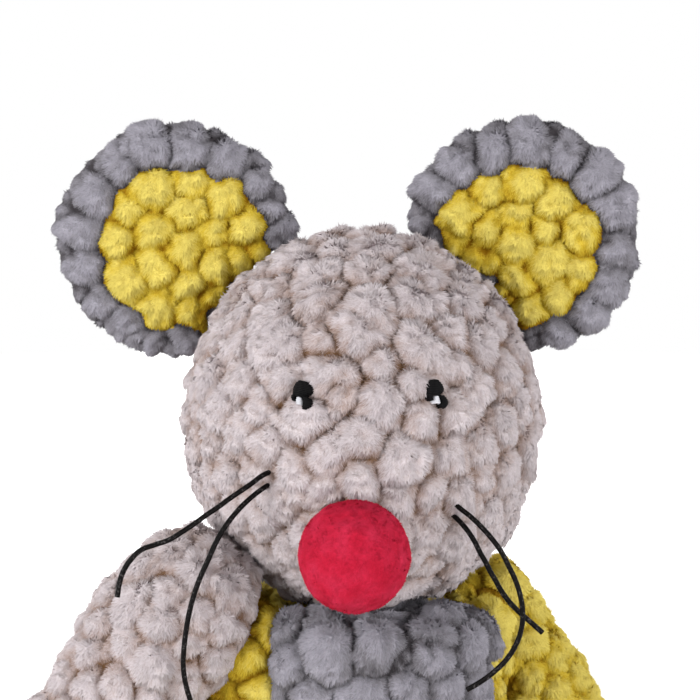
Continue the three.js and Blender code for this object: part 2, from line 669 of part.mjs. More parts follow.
// A profile carried along a path that gives the middle and the sideways direction at each distance.
function swept(points, path) {
  const spots = [];
  const rings = points.map(([radius, distance]) => {
    const { middle, aside, up } = path(distance);
    if (!radius) return [spots.push(middle) - 1];
    const ring = [];
    for (let k = 0; k < LIMB_SIDES; k++) {
      const turn = (2 * Math.PI * (k + 0.5)) / LIMB_SIDES;
      const spot = middle.clone().addScaledVector(aside, radius * Math.cos(turn));
      ring.push(spots.push(spot.addScaledVector(up, radius * Math.sin(turn))) - 1);
    }
    return ring;
  });
  const faces = [];
  for (let i = 1; i < rings.length; i++) {
    for (let k = 0; k < LIMB_SIDES; k++) {
      const [a, b] = [rings[i - 1], rings[i]];
      const next = (k + 1) % LIMB_SIDES;
      if (a.length > 1) faces.push(a[k], a[next], b[k % b.length]);
      if (b.length > 1) faces.push(a[next % a.length], b[next], b[k]);
    }
  }
  return new THREE.BufferGeometry().setFromPoints(spots).setIndex(faces);
}

// A limb's cloth, open at its root, and its stuffing, in a group at the root that turns with the limb.
function limbPieces(name, sizes, root, look, path) {
  const group = new THREE.Group();
  group.position.copy(root);
  group.updateMatrixWorld(true);
  const clear = besideLimb(sizes, root);
  const make = (points) => solid(swept(points, path).translate(root.x, root.y, root.z)).subtract(clear);
  const { cloth: thick = CLOTH, mouth = MOUTH_RADIUS } = sizes;
  const outside = limbProfile(sizes, 0, mouth).reverse();
  const inside = limbProfile(sizes, -thick, mouth);
  hang(group, `${name}_skin`, make([...outside, ...inside]), look);
  hang(group, `${name}_stuffing`, make(limbProfile(sizes, -thick - SEAM)), looks.stuffing);
  toy.add(group);
}

// An arm hangs down and leans out by some degrees.
function hanging(side, { lean }) {
  const along = new THREE.Vector3(side * Math.sin(radians(lean)), 0, -Math.cos(radians(lean)));
  const up = new THREE.Vector3().crossVectors(Y, along);
  return (distance) => ({ middle: along.clone().multiplyScalar(distance), aside: Y, up });
}

// A limb that lies on the surface along a curve, its middle line rising and sinking with its thickness.
function lying(sizes, line) {
  const reach = sizes.length - sizes.tip;
  return (distance) => {
    const t = THREE.MathUtils.clamp(distance / reach, 0, 1);
    const along = line.getTangent(t);
    const middle = line.getPoint(t).addScaledVector(along, distance - t * reach);
    middle.z = limbRadius(sizes, t) - sizes.root;
    return { middle, aside: new THREE.Vector3().crossVectors(along, Z), up: Z };
  };
}

// A leg points forwards, splayed out.
function stretched(side) {
  const splay = radians(LEG_SPLAY);
  const ahead = new THREE.Vector3(side * Math.sin(splay), -Math.cos(splay), 0);
  const foot = ahead.multiplyScalar(LEG.length - LEG.tip);
  return lying(LEG, new THREE.LineCurve3(new THREE.Vector3(), foot));
}

// The tail trails straight back and then bends to one side.
function trailing() {
  const end = TAIL.length - TAIL.tip;
  const bend = new THREE.Vector3(0, end / 2, 0);
  const tip = new THREE.Vector3(TAIL_BEND, end, 0);
  return lying(TAIL, new THREE.QuadraticBezierCurve3(new THREE.Vector3(), bend, tip));
}

// Putting it together

torsoPieces();
squeakerPieces();
neckThread();
headPieces();
nosePieces();
eyePieces("right", RIGHT_EYE_ASIDE);
eyePieces("left", LEFT_EYE_ASIDE);
whiskerPieces();
earPieces("right", RIGHT_EAR);
earPieces("left", LEFT_EAR);
toy.add(headGroup);
limbPieces("right_arm", RIGHT_ARM, rightShoulder, looks.beige, hanging(-1, RIGHT_SHOULDER));
limbPieces("left_arm", LEFT_ARM, leftShoulder, looks.yellow, hanging(1, LEFT_SHOULDER));
limbPieces("right_leg", LEG, hip(-1), looks.yellow, stretched(-1));
limbPieces("left_leg", LEG, hip(1), looks.beige, stretched(1));
limbPieces("tail", TAIL, tailRoot, looks.beige, trailing());

export default toy;
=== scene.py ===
# %% [markdown]
# # A plush mouse for a dog
# The toy is sewn from knobbly plush and stuffed. This lesson dresses its plain solids: each skin is
# pumped up as cloth, covered with knobs, cut into its sewn panels and given a pile of short fibres.
# The solids stay where they are, and every new piece lies in the space that its solid holds.

# %% The frame
import bpy
import json
import math
import numpy as np
from mathutils import Matrix, Vector, noise
from mathutils.bvhtree import BVHTree
from mathutils.geometry import interpolate_bezier

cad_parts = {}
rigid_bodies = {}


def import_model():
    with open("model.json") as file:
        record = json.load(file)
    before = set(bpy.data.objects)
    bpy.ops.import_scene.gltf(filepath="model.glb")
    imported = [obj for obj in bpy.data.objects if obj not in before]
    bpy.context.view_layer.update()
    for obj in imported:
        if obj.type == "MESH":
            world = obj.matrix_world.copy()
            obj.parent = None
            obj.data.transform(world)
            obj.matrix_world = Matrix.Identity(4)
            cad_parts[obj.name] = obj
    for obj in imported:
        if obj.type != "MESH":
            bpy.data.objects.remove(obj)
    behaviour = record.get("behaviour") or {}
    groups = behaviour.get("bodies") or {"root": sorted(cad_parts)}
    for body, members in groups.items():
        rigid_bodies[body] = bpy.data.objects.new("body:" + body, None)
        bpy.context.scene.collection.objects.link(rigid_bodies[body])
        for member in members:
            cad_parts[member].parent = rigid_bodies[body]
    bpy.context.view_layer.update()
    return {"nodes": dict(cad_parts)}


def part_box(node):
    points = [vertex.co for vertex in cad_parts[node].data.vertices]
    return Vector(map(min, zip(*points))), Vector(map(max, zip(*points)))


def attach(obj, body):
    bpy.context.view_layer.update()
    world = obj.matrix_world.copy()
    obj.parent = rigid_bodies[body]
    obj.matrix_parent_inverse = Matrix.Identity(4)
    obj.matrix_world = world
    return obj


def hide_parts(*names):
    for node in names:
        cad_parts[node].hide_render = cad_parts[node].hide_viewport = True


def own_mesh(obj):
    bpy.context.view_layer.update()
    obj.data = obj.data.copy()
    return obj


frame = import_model()
bpy.ops.object.select_all(action="DESELECT")
scene = bpy.context.scene
noise.seed_set(5)  # vector noise starts from the clock without a seed
MM = 0.001
print("solids in the frame:", len(frame["nodes"]))

# %% [markdown]
# ## Where the camera stands
# The photograph looks straight at the face from a little above, and the head is turned on the body, so
# the body shows in a three-quarter view. A camera could be moved by eye until the picture agrees. Here
# it is worked out from the middle of the head, which lies a few pixels from the middle of the picture,
# and from the photograph's scale there, so that each number can be measured.

# %% Camera
HEAD_CENTRE = Vector((0.004, -0.0016, 0.14775))
HEAD_TURN = math.radians(-22)
VIEW_TURN = math.radians(-22)
VIEW_RISE = math.radians(8)
VIEW_FROM = 0.6
PIXEL = 0.28 * MM  # what a pixel of the photograph covers at the head
PICTURE = 700
HEAD_RIGHT_OF_MIDDLE = 12  # pixels
HEAD_BELOW_MIDDLE = 70

back = Vector((math.sin(VIEW_TURN) * math.cos(VIEW_RISE), -math.cos(VIEW_TURN) * math.cos(VIEW_RISE),
               math.sin(VIEW_RISE)))
right = Vector((math.cos(VIEW_TURN), math.sin(VIEW_TURN), 0))
up = back.cross(right)
aim = HEAD_CENTRE - right * HEAD_RIGHT_OF_MIDDLE * PIXEL + up * HEAD_BELOW_MIDDLE * PIXEL
bpy.ops.object.camera_add(location=aim + back * VIEW_FROM)
camera = bpy.context.object
camera.rotation_euler = Matrix((right, up, back)).transposed().to_euler()
camera.data.sensor_width = 36
camera.data.lens = camera.data.sensor_width * VIEW_FROM / (PIXEL * PICTURE)
camera.data.clip_start = 0.01
scene.camera = camera
print("lens in millimetres:", round(camera.data.lens, 1))

# %% [markdown]
# ## Whiskers
# The whiskers are four lengths of black waxed cord. A cord could be a tube of faces, but a curve with a
# round bevel is easier to lead: its points repeat the route of its solid, from where it leaves the cheek,
# and one more point under the skin roots it in the pile. Automatic handles make the line smooth. The
# thickness is the points' own radius, which a bevel of 1 turns into a tube.

# %% Whisker routes
# Degrees below the horizon and towards the toy's left, and places in millimetres from where the cord leaves
WHISKERS = {
    "right_upper_whisker": (6.5, -31, [
        (0, 0, 0), (-2.4, -2.6, -1.4), (-5, -5, -2.8), (-7.8, -7, -4.4),
        (-10.6, -8.8, -6.2), (-13.6, -10.2, -8), (-16.6, -11.4, -10), (-19.8, -12.4, -12),
        (-23, -13.2, -13.8), (-26.4, -14.2, -14.8), (-29.8, -14.6, -16), (-32.4, -14.6, -18.4),
        (-34.4, -14.4, -21.4), (-35.6, -14.2, -24.8), (-36.2, -14, -28.4)]),
    "right_lower_whisker": (10, -31, [
        (0, 0, 0), (-3.2, -3.2, -2), (-6.2, -6, -4.6), (-9.2, -8, -8.2),
        (-11.6, -9.6, -12.2), (-13.6, -10.8, -16.6), (-15.6, -11.6, -21), (-17.2, -12, -25.6),
        (-18.4, -12.2, -30.2), (-19.2, -12.2, -34.8), (-19.8, -12, -39.6), (-20, -11.6, -44.4),
        (-19.4, -11.2, -49.2), (-18.2, -10.8, -53.8), (-16.8, -10.4, -58.4)]),
    "left_upper_whisker": (16, 31, [
        (0, 0, 0), (2.5, -3.4, -1.4), (5, -6, -3.4), (7.6, -8, -6),
        (10, -9, -9.2), (12, -9.6, -13), (13.8, -10, -16.8), (15.1, -10, -21),
        (15.7, -10, -25.2), (15.4, -9.8, -29.6), (14, -9.6, -33.9), (11.7, -9.2, -37.8),
        (8.7, -8.8, -41.1), (5.3, -8.4, -43.9), (1.6, -8, -46.3)]),
    "left_lower_whisker": (19.5, 31, [
        (0, 0, 0), (1.4, -2, -1.2), (2.8, -3.6, -2.8), (4.2, -4.4, -5),
        (5.4, -5, -7.4), (6.8, -5.4, -9.8), (8, -5.6, -12.2), (9.4, -5.6, -14.6),
        (10.6, -5.8, -16.8), (12.2, -5.8, -19.2), (13.8, -5.8, -21.2), (15.8, -5.8, -23.2),
        (17.8, -5.8, -25), (19.8, -5.8, -26.8), (21.8, -5.8, -28.6)]),
}
HEAD_SIZE = Vector((101, 100, 107.5)) * MM
MUZZLE_RISE = 7 * MM
MUZZLE_SPREAD = 0.5  # radians


def facing(drop, aside):
    """A direction from the middle of the head, in the head's own frame."""
    drop, aside = math.radians(drop), math.radians(aside)
    level = math.cos(drop)
    return Vector((math.sin(aside) * level, -math.cos(aside) * level, -math.sin(drop)))


MUZZLE = facing(20, -2)


def head_point(direction, grow):
    """A point of the head's outline, grown by a distance: an egg with a muzzle."""
    on = Vector(d * (size / 2 + grow) for d, size in zip(direction, HEAD_SIZE))
    return on + MUZZLE * MUZZLE_RISE * math.exp(-((direction.angle(MUZZLE) / MUZZLE_SPREAD) ** 2))


def on_toy(point):
    """A point of the head's own frame, where it is on the toy."""
    return HEAD_CENTRE + Matrix.Rotation(HEAD_TURN, 3, "Z") @ point


print("muzzle in front of the head's middle, in mm:", round(-head_point(MUZZLE, 0).y / MM))

# %% Whisker cords
SEAM = 0.35 * MM
WHISKER_DIAMETER = 1.4 * MM
WHISKER_ROOT = 3 * MM


def spline_length(spline):
    total = 0
    for a, b in zip(spline.bezier_points, spline.bezier_points[1:]):
        steps = interpolate_bezier(a.co, a.handle_right, b.handle_left, b.co, 24)
        total += sum((q - p).length for p, q in zip(steps, steps[1:]))
    return total


def take_place(piece, node, body):
    """Lets a piece ride on a body and stand for one of its solids."""
    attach(piece, body)
    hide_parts(node)


def whisker(node, drop, aside, route):
    out = facing(drop, aside)
    leaves = head_point(out, SEAM + WHISKER_DIAMETER / 2)
    places = [head_point(out, -WHISKER_ROOT)] + [leaves + Vector(place) * MM for place in route]
    bpy.ops.curve.primitive_bezier_curve_add()
    cord = bpy.context.object
    cord.name = node + "_cord"
    spline = cord.data.splines[0]
    spline.bezier_points.add(len(places) - len(spline.bezier_points))
    for point, place in zip(spline.bezier_points, places):
        point.co = on_toy(place)
        point.radius = WHISKER_DIAMETER / 2
    bpy.ops.object.mode_set(mode="EDIT")
    bpy.ops.curve.select_all(action="SELECT")
    bpy.ops.curve.handle_type_set(type="AUTOMATIC")
    bpy.ops.object.mode_set(mode="OBJECT")
    cord.data.bevel_depth = 1
    cord.data.bevel_resolution = 3
    cord.data.resolution_u = 6
    cord.data.use_fill_caps = True
    spline = cord.data.splines[0]
    length = spline_length(spline)
    take_place(cord, node, "head")
    print(node, "is", round(length / MM), "mm long")
    return cord


whiskers = [whisker(node, *facts) for node, facts in WHISKERS.items()]

# %% [markdown]
# ## Colours of plush
# Plush is painted with shade deep between its knobs and at the roots of its fibres, and with light on the
# tops of its knobs. A picture laid over the skin could show that, but it would blur near the camera and
# would not follow the knobs. So each skin carries a tone, from 0 in a crevice to 1 on top of a knob, and one
# node group turns a tone, and a height along a fibre, into a colour: painted shade low down, the plush's own
# colour in the middle and painted light high up. The cloth reads its tone from an attribute. A fibre reads
# both from its own map, so that a fibre's place on the map is its colour.

# %% Node helpers
def rgb(red, green, blue):
    """A colour as it is picked from a picture, for a shader."""
    shares = [value / 255 for value in (red, green, blue)]
    return (*[s / 12.92 if s < 0.04045 else ((s + 0.055) / 1.055) ** 2.4 for s in shares], 1)


def feed(tree, node, inputs):
    """Links a node's inputs to sockets, or sets them to values."""
    for name, value in inputs.items():
        if isinstance(value, bpy.types.NodeSocket):
            tree.links.new(value, node.inputs[name])
        else:
            node.inputs[name].default_value = value


def add_node(tree, kind, inputs=None, **settings):
    node = tree.nodes.new(kind)
    for name, value in settings.items():
        setattr(node, name, value)
    feed(tree, node, inputs or {})
    return node


def new_tree(name, kind, inputs, outputs):
    """An empty node group with these sockets, and its first and last nodes."""
    tree = bpy.data.node_groups.new(name, kind)
    for way, sockets in (("INPUT", inputs), ("OUTPUT", outputs)):
        for socket, sort in sockets.items():
            tree.interface.new_socket(socket, in_out=way, socket_type=sort)
    return tree, tree.nodes.new("NodeGroupInput"), tree.nodes.new("NodeGroupOutput")


def blend_colours(tree, share, first, second):
    mix = add_node(tree, "ShaderNodeMix", {"Factor": share, 6: first, 7: second}, data_type="RGBA")
    return mix.outputs[2]


def remap(tree, value, low, high, to_low=0.0, to_high=1.0):
    """A value stretched smoothly from one range to another."""
    inputs = {"Value": value, "From Min": low, "From Max": high, "To Min": to_low, "To Max": to_high}
    return add_node(tree, "ShaderNodeMapRange", inputs, interpolation_type="SMOOTHSTEP").outputs["Result"]


# %% Plush colour group
FLOAT, COLOUR = "NodeSocketFloat", "NodeSocketColor"
plush_colour, given, result = new_tree(
    "Plush colour", "ShaderNodeTree",
    {"Tone": FLOAT, "Height": FLOAT, "Crevice": COLOUR, "Middle": COLOUR, "Tip": COLOUR},
    {"Color": COLOUR},
)
tone, height, crevice_shade, middle, knob_light = given.outputs[:5]
# The tone blends painted shade in the crevices into the plush's own colour, and painted light on the tops of
# the knobs.
lower = blend_colours(plush_colour, remap(plush_colour, tone, 0.05, 0.6), crevice_shade, middle)
upper = blend_colours(plush_colour, remap(plush_colour, tone, 0.45, 1.0), lower, knob_light)
# Painted shade at the roots of the fibres, where other fibres shadow them; the cloth takes its height from a
# fine grain noise.
root_shaded = blend_colours(plush_colour, remap(plush_colour, height, 0.0, 0.7, 0.72, 1.0), crevice_shade, upper)
feed(plush_colour, result, {"Color": root_shaded})
print("node group:", plush_colour.name)

# %% Plush materials
# The colours of each plush: painted shade in a crevice, its own colour on a knob, and painted light on the
# tops of the knobs
PLUSH = {
    "beige": (rgb(118, 86, 60), rgb(178, 161, 157), rgb(200, 191, 194)),
    "grey": (rgb(64, 60, 63), rgb(129, 126, 132), rgb(154, 151, 160)),
    "yellow": (rgb(140, 98, 8), rgb(204, 176, 52), rgb(220, 202, 102)),
    "red": (rgb(158, 18, 40), rgb(182, 28, 54), rgb(197, 46, 75)),
}
PILE_MAP = "OFBake"  # the map that holds a fibre's tone across and its height upwards
CLOTH_SHEEN = 0.1
PILE_SHEEN = 0.15
GRAIN = 900  # the scale of the cloth's fine bump
GRAIN_BUMP = 0.6 * MM


def principled(name, roughness, shine, inputs=None):
    """A new material with some of its shader's inputs set, and its tree and shader."""
    material = bpy.data.materials.new(name)
    material.use_nodes = True
    tree = material.node_tree
    shader = tree.nodes["Principled BSDF"]
    feed(tree, shader, {"Roughness": roughness, "Specular IOR Level": shine, **(inputs or {})})
    return material, tree, shader


def plush(name, colours, sheen):
    """A plush material whose tone and height are still to be fed, its tree, shader and colour node."""
    soft = {"Sheen Weight": sheen, "Sheen Roughness": 0.55, "Sheen Tint": colours[1]}
    material, tree, shader = principled(name, 0.95, 0.08, soft)
    shades = dict(zip(("Crevice", "Middle", "Tip"), colours))
    colour = add_node(tree, "ShaderNodeGroup", shades, node_tree=plush_colour)
    feed(tree, shader, {"Base Color": colour.outputs["Color"]})
    return material, tree, shader, colour


def plush_cloth(name, colours):
    """The cloth under the pile: its tone from the knobs, with a fine fibre bump."""
    material, tree, shader, colour = plush(name, colours, CLOTH_SHEEN)
    tone = add_node(tree, "ShaderNodeAttribute", attribute_name="tone")
    place = add_node(tree, "ShaderNodeTexCoord").outputs["Object"]
    grain = add_node(tree, "ShaderNodeTexNoise", {"Vector": place, "Scale": GRAIN, "Detail": 3})
    grain = grain.outputs["Fac"]
    feed(tree, colour, {"Tone": tone.outputs["Fac"], "Height": grain})
    bump = add_node(tree, "ShaderNodeBump", {"Strength": 0.6, "Distance": GRAIN_BUMP, "Height": grain})
    feed(tree, shader, {"Normal": bump.outputs["Normal"]})
    return material


def plush_pile(name, colours):
    """The fibres: tone and height from their map."""
    material, tree, shader, colour = plush(name, colours, PILE_SHEEN)
    place = add_node(tree, "ShaderNodeUVMap", uv_map=PILE_MAP)
    parts = add_node(tree, "ShaderNodeSeparateXYZ", {"Vector": place.outputs["UV"]})
    feed(tree, colour, {"Tone": parts.outputs["X"], "Height": parts.outputs["Y"]})
    return material


def surface(piece, material):
    """Gives a piece one material."""
    piece.data.materials.clear()
    piece.data.materials.append(material)


cloths = {look: plush_cloth(look + "_cloth", colours) for look, colours in PLUSH.items()}
piles = {look: plush_pile(look + "_pile", colours) for look, colours in PLUSH.items()}
print("plush looks:", ", ".join(PLUSH))

# %% [markdown]
# ## From a solid to stuffed cloth
# A skin is cloth over stuffing, full between its seams and drawn in along them. It could be sculpted, but
# a cloth simulation with pressure finds that shape by itself. A skin starts as a copy of the solids of its
# body, joined and remeshed with small voxels, which closes their seams, and drawn in a little to leave
# room for the knobs and the pile. Then it is pumped up for some frames with its seams pinned.

# %% Cloth helpers
def only(*pieces):
    """Selects these pieces and makes the first the active one."""
    bpy.ops.object.select_all(action="DESELECT")
    for piece in pieces:
        piece.select_set(True)
    bpy.context.view_layer.objects.active = pieces[0]


def apply_modifier(piece, kind, **settings):
    """Adds a modifier with these settings and applies it."""
    only(piece)
    modifier = piece.modifiers.new(kind.title(), kind)
    for name, value in settings.items():
        setattr(modifier, name, value)
    bpy.ops.object.modifier_apply(modifier=modifier.name)


def edit(piece, *steps, whole=True):
    """Runs edit-mode steps on the whole of a piece, or on what is selected."""
    only(piece)
    bpy.ops.object.mode_set(mode="EDIT")
    if whole:
        bpy.ops.mesh.select_all(action="SELECT")
    for step in steps:
        step()
    bpy.ops.object.mode_set(mode="OBJECT")


def copy_solids(name, nodes):
    """One new piece from copies of solids, at the toy's origin and free of the frame."""
    only(*[frame["nodes"][node] for node in nodes])
    bpy.ops.object.duplicate()
    if len(nodes) > 1:
        bpy.ops.object.join()
    piece = bpy.context.object
    bpy.ops.object.parent_clear(type="CLEAR_KEEP_TRANSFORM")
    for key in list(piece.keys()):
        del piece[key]
    piece.name = name
    piece.data.name = name
    piece.data.materials.clear()
    edit(piece, lambda: bpy.ops.mesh.remove_doubles(threshold=0.01 * MM))
    return piece


def copy_piece(piece, name):
    only(piece)
    bpy.ops.object.duplicate()
    copy = bpy.context.object
    copy.name = name
    copy.data.name = name
    return copy


# %% Points of a piece
def read(items, field, width=3, kind=np.float64):
    """A field of each item, as the rows of an array."""
    flat = np.empty(width * len(items), kind)
    items.foreach_get(field, flat)
    return flat.reshape(-1, width)


def points_of(piece):
    return read(piece.data.vertices, "co")


def normals_of(piece):
    return read(piece.data.vertex_normals, "vector")


def put(piece, points):
    piece.data.vertices.foreach_set("co", points.ravel())
    piece.data.update()


def keep(piece, name, values):
    """Stores a number or a vector for each point of a piece."""
    values = np.asarray(values, np.float32)
    kind, field = ("FLOAT", "value") if values.ndim == 1 else ("FLOAT_VECTOR", "vector")
    attribute = piece.data.attributes.new(name, kind, "POINT")
    attribute.data.foreach_set(field, values.ravel())


def numbers(piece, name):
    """The number that was kept for each point."""
    return read(piece.data.attributes[name].data, "value", 1, np.float32)[:, 0]


def lumps(points, size):
    """A noise at each point, from -1 to 1, whose lumps are about this size."""
    return np.array([noise.noise(point / size) for point in points])


# %% Stuffing by cloth simulation
PRESSURE = 4
CLOTH_FRAMES = 16
PINNED_FROM = 0.05  # smaller shares are left out of the pins


def swell(piece, pinned, most):
    """Pumps the cloth up for some frames, held where it is pinned, and moves no point further than most."""
    start = points_of(piece)
    seams = piece.vertex_groups.new(name="seams")
    for index in np.flatnonzero(pinned > PINNED_FROM):
        seams.add([int(index)], float(pinned[index]), "REPLACE")
    cloth = piece.modifiers.new("Cloth", "CLOTH")
    cloth.settings.use_pressure = True
    cloth.settings.uniform_pressure_force = PRESSURE
    cloth.settings.vertex_group_mass = "seams"
    cloth.settings.effector_weights.gravity = 0
    for number in range(1, CLOTH_FRAMES + 1):
        scene.frame_set(number)
    only(piece)
    bpy.ops.object.modifier_apply(modifier=cloth.name)
    scene.frame_set(1)
    piece.vertex_groups.clear()
    moved = points_of(piece) - start
    far = np.linalg.norm(moved, axis=1)
    put(piece, start + moved * np.minimum(1, most / np.maximum(far, 1e-9))[:, None])


def drawn_in(name, nodes, voxel, inset, smoothing):
    """A smooth form a little inside some solids, with their seams closed."""
    piece = copy_solids(name, nodes)
    piece.data.remesh_voxel_size = voxel
    bpy.ops.object.voxel_remesh()
    apply_modifier(piece, "SMOOTH", factor=0.5, iterations=smoothing)
    apply_modifier(piece, "DISPLACE", strength=-inset, mid_level=0)
    return piece


def stuffed(name, nodes, voxel, inset, puff, pins, fineness):
    """A swollen form in the space of some solids. pins gives a share from 0 to 1 for each point."""
    piece = drawn_in(name, nodes, voxel, inset + puff, 5)
    swell(piece, pins(points_of(piece)), puff)
    apply_modifier(piece, "SUBSURF", levels=fineness, render_levels=fineness)
    print(name, "has", len(piece.data.vertices), "points")
    return piece


# %% [markdown]
# ## Knobs
# The plush is knitted in staggered rows of knobs. A bump in the material could hint at them, but the toy's
# outline would stay smooth, so they are raised in the mesh. Seeds are set in rows round an axis of the
# body, a pitch apart along the surface. A point's share between its nearest seed and the next one makes a
# dome over each seed with a crevice round it. Some crevices are shallow, where knobs have grown together,
# and domes droop a little, as shells do.

# %% Seeds of the knobs
UNEVEN = 0.16  # how far seeds stray from their places, as a share of the pitch
BANDS = 60  # the bands from pole to pole in which the form's outline is measured


def squared(a, b):
    """Squared distances between two lists of points."""
    return (a ** 2).sum(1)[:, None] + (b ** 2).sum(1)[None] - 2 * a @ b.T


def knob_seeds(points, centre, axis, pitch, chance, uneven=UNEVEN):
    """Seeds in staggered rows round an axis: pitch is the distance along a row and between rows."""
    along, between = pitch
    axis = np.array(axis) / np.linalg.norm(axis)
    aside = np.cross(axis, (0, 0, 1) if abs(axis[2]) < 0.9 else (1, 0, 0))
    aside /= np.linalg.norm(aside)
    round_about = np.cross(axis, aside)
    away = points - np.array(centre)
    far = np.linalg.norm(away, axis=1)
    polar = np.arccos(np.clip(away @ axis / far, -1, 1))
    steps = np.linspace(0, math.pi, BANDS + 1)
    middles = (steps[1:] + steps[:-1]) / 2
    which = np.digitize(polar, steps) - 1
    full = np.array([b for b in range(len(middles)) if (which == b).any()])
    reach = np.interp(middles, middles[full], [far[which == b].mean() for b in full])
    outline = np.stack([reach * np.sin(middles), reach * np.cos(middles)], 1)
    run = np.concatenate([[0], np.cumsum(np.linalg.norm(np.diff(outline, axis=0), axis=1))])
    rows = max(2, round(run[-1] / between))
    seeds = []
    for row in range(rows + 1):
        angle = np.interp(run[-1] * row / rows, run, middles)
        radius = np.interp(angle, middles, reach)
        count = max(1, round(2 * math.pi * radius * math.sin(angle) / along))
        for place in range(count):
            turn = 2 * math.pi * (place + row % 2 / 2 + chance.normal(0, uneven)) / count
            tilt = angle + chance.normal(0, uneven) * between / radius
            level = math.cos(turn) * aside + math.sin(turn) * round_about
            seeds.append(np.array(centre) + radius * (math.sin(tilt) * level + math.cos(tilt) * axis))
    return points[squared(np.array(seeds), points).argmin(1)]


# %% Raising the knobs
DROOP = np.array((0, 0, -1))
NAP = np.array((0, 0.4, -0.6))  # where the pile lies over, down and back
TUFT = 2.2 * MM  # the size of the finer lumps on a knob
TUFT_RELIEF = 1.4 * MM
RAGGED = 1.4 * MM  # how far a knob's edge strays
BIGGER = 0.15  # how much further or less far a knob reaches than others, as a share of the pitch
SHALLOW = 0.25  # the least depth of a crevice, where two knobs have grown together
PIT_LEVEL = 0.25  # what is left of a crevice's height where three knobs meet
FULLNESS = (0.7, 1.1)
KNOB_TILT = 0.25
SEAM_WIDTH = 2 * MM
SEAM_DEPTH = 0.8 * MM
ABOVE_FLOOR = 0.5 * MM


def domed(share):
    """The height of a dome at a share of the way in from its edge."""
    return np.sqrt(1 - (1 - np.clip(share, 0, 1)) ** 2)


def level_parts(vectors, out):
    """What is left of vectors without their parts along the normals."""
    return vectors - out * (vectors * out).sum(1)[:, None]


def raise_knobs(piece, seeds, pitch, rise, seam_gap, chance, droop=0.3, shallow=SHALLOW, sides=None):
    """Raises a dome over each seed, draws the cloth in at its seams, and keeps what the pile needs.
    Knobs on different sides of a seam stay parted. Gives the knob of each point."""
    points = points_of(piece)
    size = min(pitch)
    strayed = points + RAGGED * np.array([noise.noise_vector(point / (2 * TUFT)) for point in points])
    apart = np.sqrt(np.maximum(squared(strayed, seeds), 0))
    apart += chance.uniform(-BIGGER, BIGGER, len(seeds)) * size
    nearest = np.argpartition(apart, 2, axis=1)[:, :3]
    order = np.take_along_axis(apart, nearest, 1).argsort(1)
    nearest = np.take_along_axis(nearest, order, 1)
    first, second, third = np.take_along_axis(apart, nearest, 1).T
    own = nearest[:, 0]
    pair = np.sort(nearest[:, :2], axis=1)
    depths = chance.uniform(0, 1, (len(seeds), len(seeds)))[pair[:, 0], pair[:, 1]]
    parted = shallow + (1 - shallow) * depths ** 1.4
    if sides is not None:
        parted[sides[pair[:, 0]] != sides[pair[:, 1]]] = 1
    valley = 1 - parted * (1 - domed((second - first) / size))
    pit = domed((third - first) / (0.9 * size))
    deep = valley * (PIT_LEVEL + (1 - PIT_LEVEL) * pit)
    fullness = chance.uniform(*FULLNESS, len(seeds))[own]
    tilt = chance.normal(0, KNOB_TILT, (len(seeds), 3))[own] + DROOP * droop
    from_top = (points - seeds[own]) / size
    tufts = lumps(points, TUFT) + 0.5 * lumps(points, 2.5 * TUFT)
    sewn = np.exp(-((seam_gap / SEAM_WIDTH) ** 2))
    height = rise * deep * fullness * (1 + (from_top * tilt).sum(1))
    height = (height + TUFT_RELIEF * tufts * valley) * (1 - 0.4 * sewn) - SEAM_DEPTH * sewn
    out = normals_of(piece)
    points = points + out * height[:, None]
    points[:, 2] = np.maximum(points[:, 2], ABOVE_FLOOR)
    put(piece, points)
    # The tone follows the relief: low in crevices and between the finer lumps, where it paints shade, and
    # high on full knobs, where it paints light.
    keep(piece, "tone", np.clip(deep * (0.75 + 0.25 * fullness) + 0.4 * tufts, 0, 1))
    keep(piece, "comb", level_parts(from_top + NAP, out))
    return own


# %% [markdown]
# ## Pile
# Fibres cover the cloth like velvet. Blender's hair could grow them, but hair isn't a mesh, and this pile
# has to be exported with the toy. So one fibre is a thin pointed blade, and a geometry node tree scatters
# points over the cloth, lays a blade at each and makes them real. Blades are combed outwards from the top
# of their knob, and a noise leans them in tufts. They lie low with their flat side outwards, because an
# edge or a back that faces the camera shows as a dark speck.

# %% One fibre
FIBRE_WIDTH = 0.5 * MM
FIBRE_LENGTH = 1.9 * MM
FIBRE_SUNK = 0.3 * MM

bpy.ops.mesh.primitive_circle_add(vertices=3, radius=FIBRE_WIDTH, fill_type="NGON")
fibre = bpy.context.object
fibre.name = "fibre"
CORNERS = len(fibre.data.vertices)
blade = ((-FIBRE_WIDTH / 2, 0, -FIBRE_SUNK), (0, 0, FIBRE_LENGTH - FIBRE_SUNK),
         (FIBRE_WIDTH / 2, 0, -FIBRE_SUNK))
for index, place in zip(fibre.data.polygons[0].vertices, blade):
    fibre.data.vertices[index].co = place
bpy.ops.object.shade_smooth()
fibre_points = points_of(fibre)
keep(fibre, "height", (fibre_points[:, 2] > 0) * 1.0)
keep(fibre, "side", fibre_points[:, 0] / FIBRE_WIDTH)
print("a fibre has", CORNERS, "corners")


# %% Sums in a tree
def product(tree, first, second):
    return add_node(tree, "ShaderNodeMath", {0: first, 1: second}, operation="MULTIPLY").outputs[0]


def vectors(tree, operation, first, second):
    return add_node(tree, "ShaderNodeVectorMath", {0: first, 1: second}, operation=operation).outputs[0]


def stretched(tree, vector, share):
    return add_node(tree, "ShaderNodeVectorMath", {0: vector, "Scale": share}, operation="SCALE").outputs[0]


def along_cloth(tree, vector, normal):
    """What is left of a vector without its part that stands off the cloth."""
    return vectors(tree, "SUBTRACT", vector, vectors(tree, "PROJECT", vector, normal))


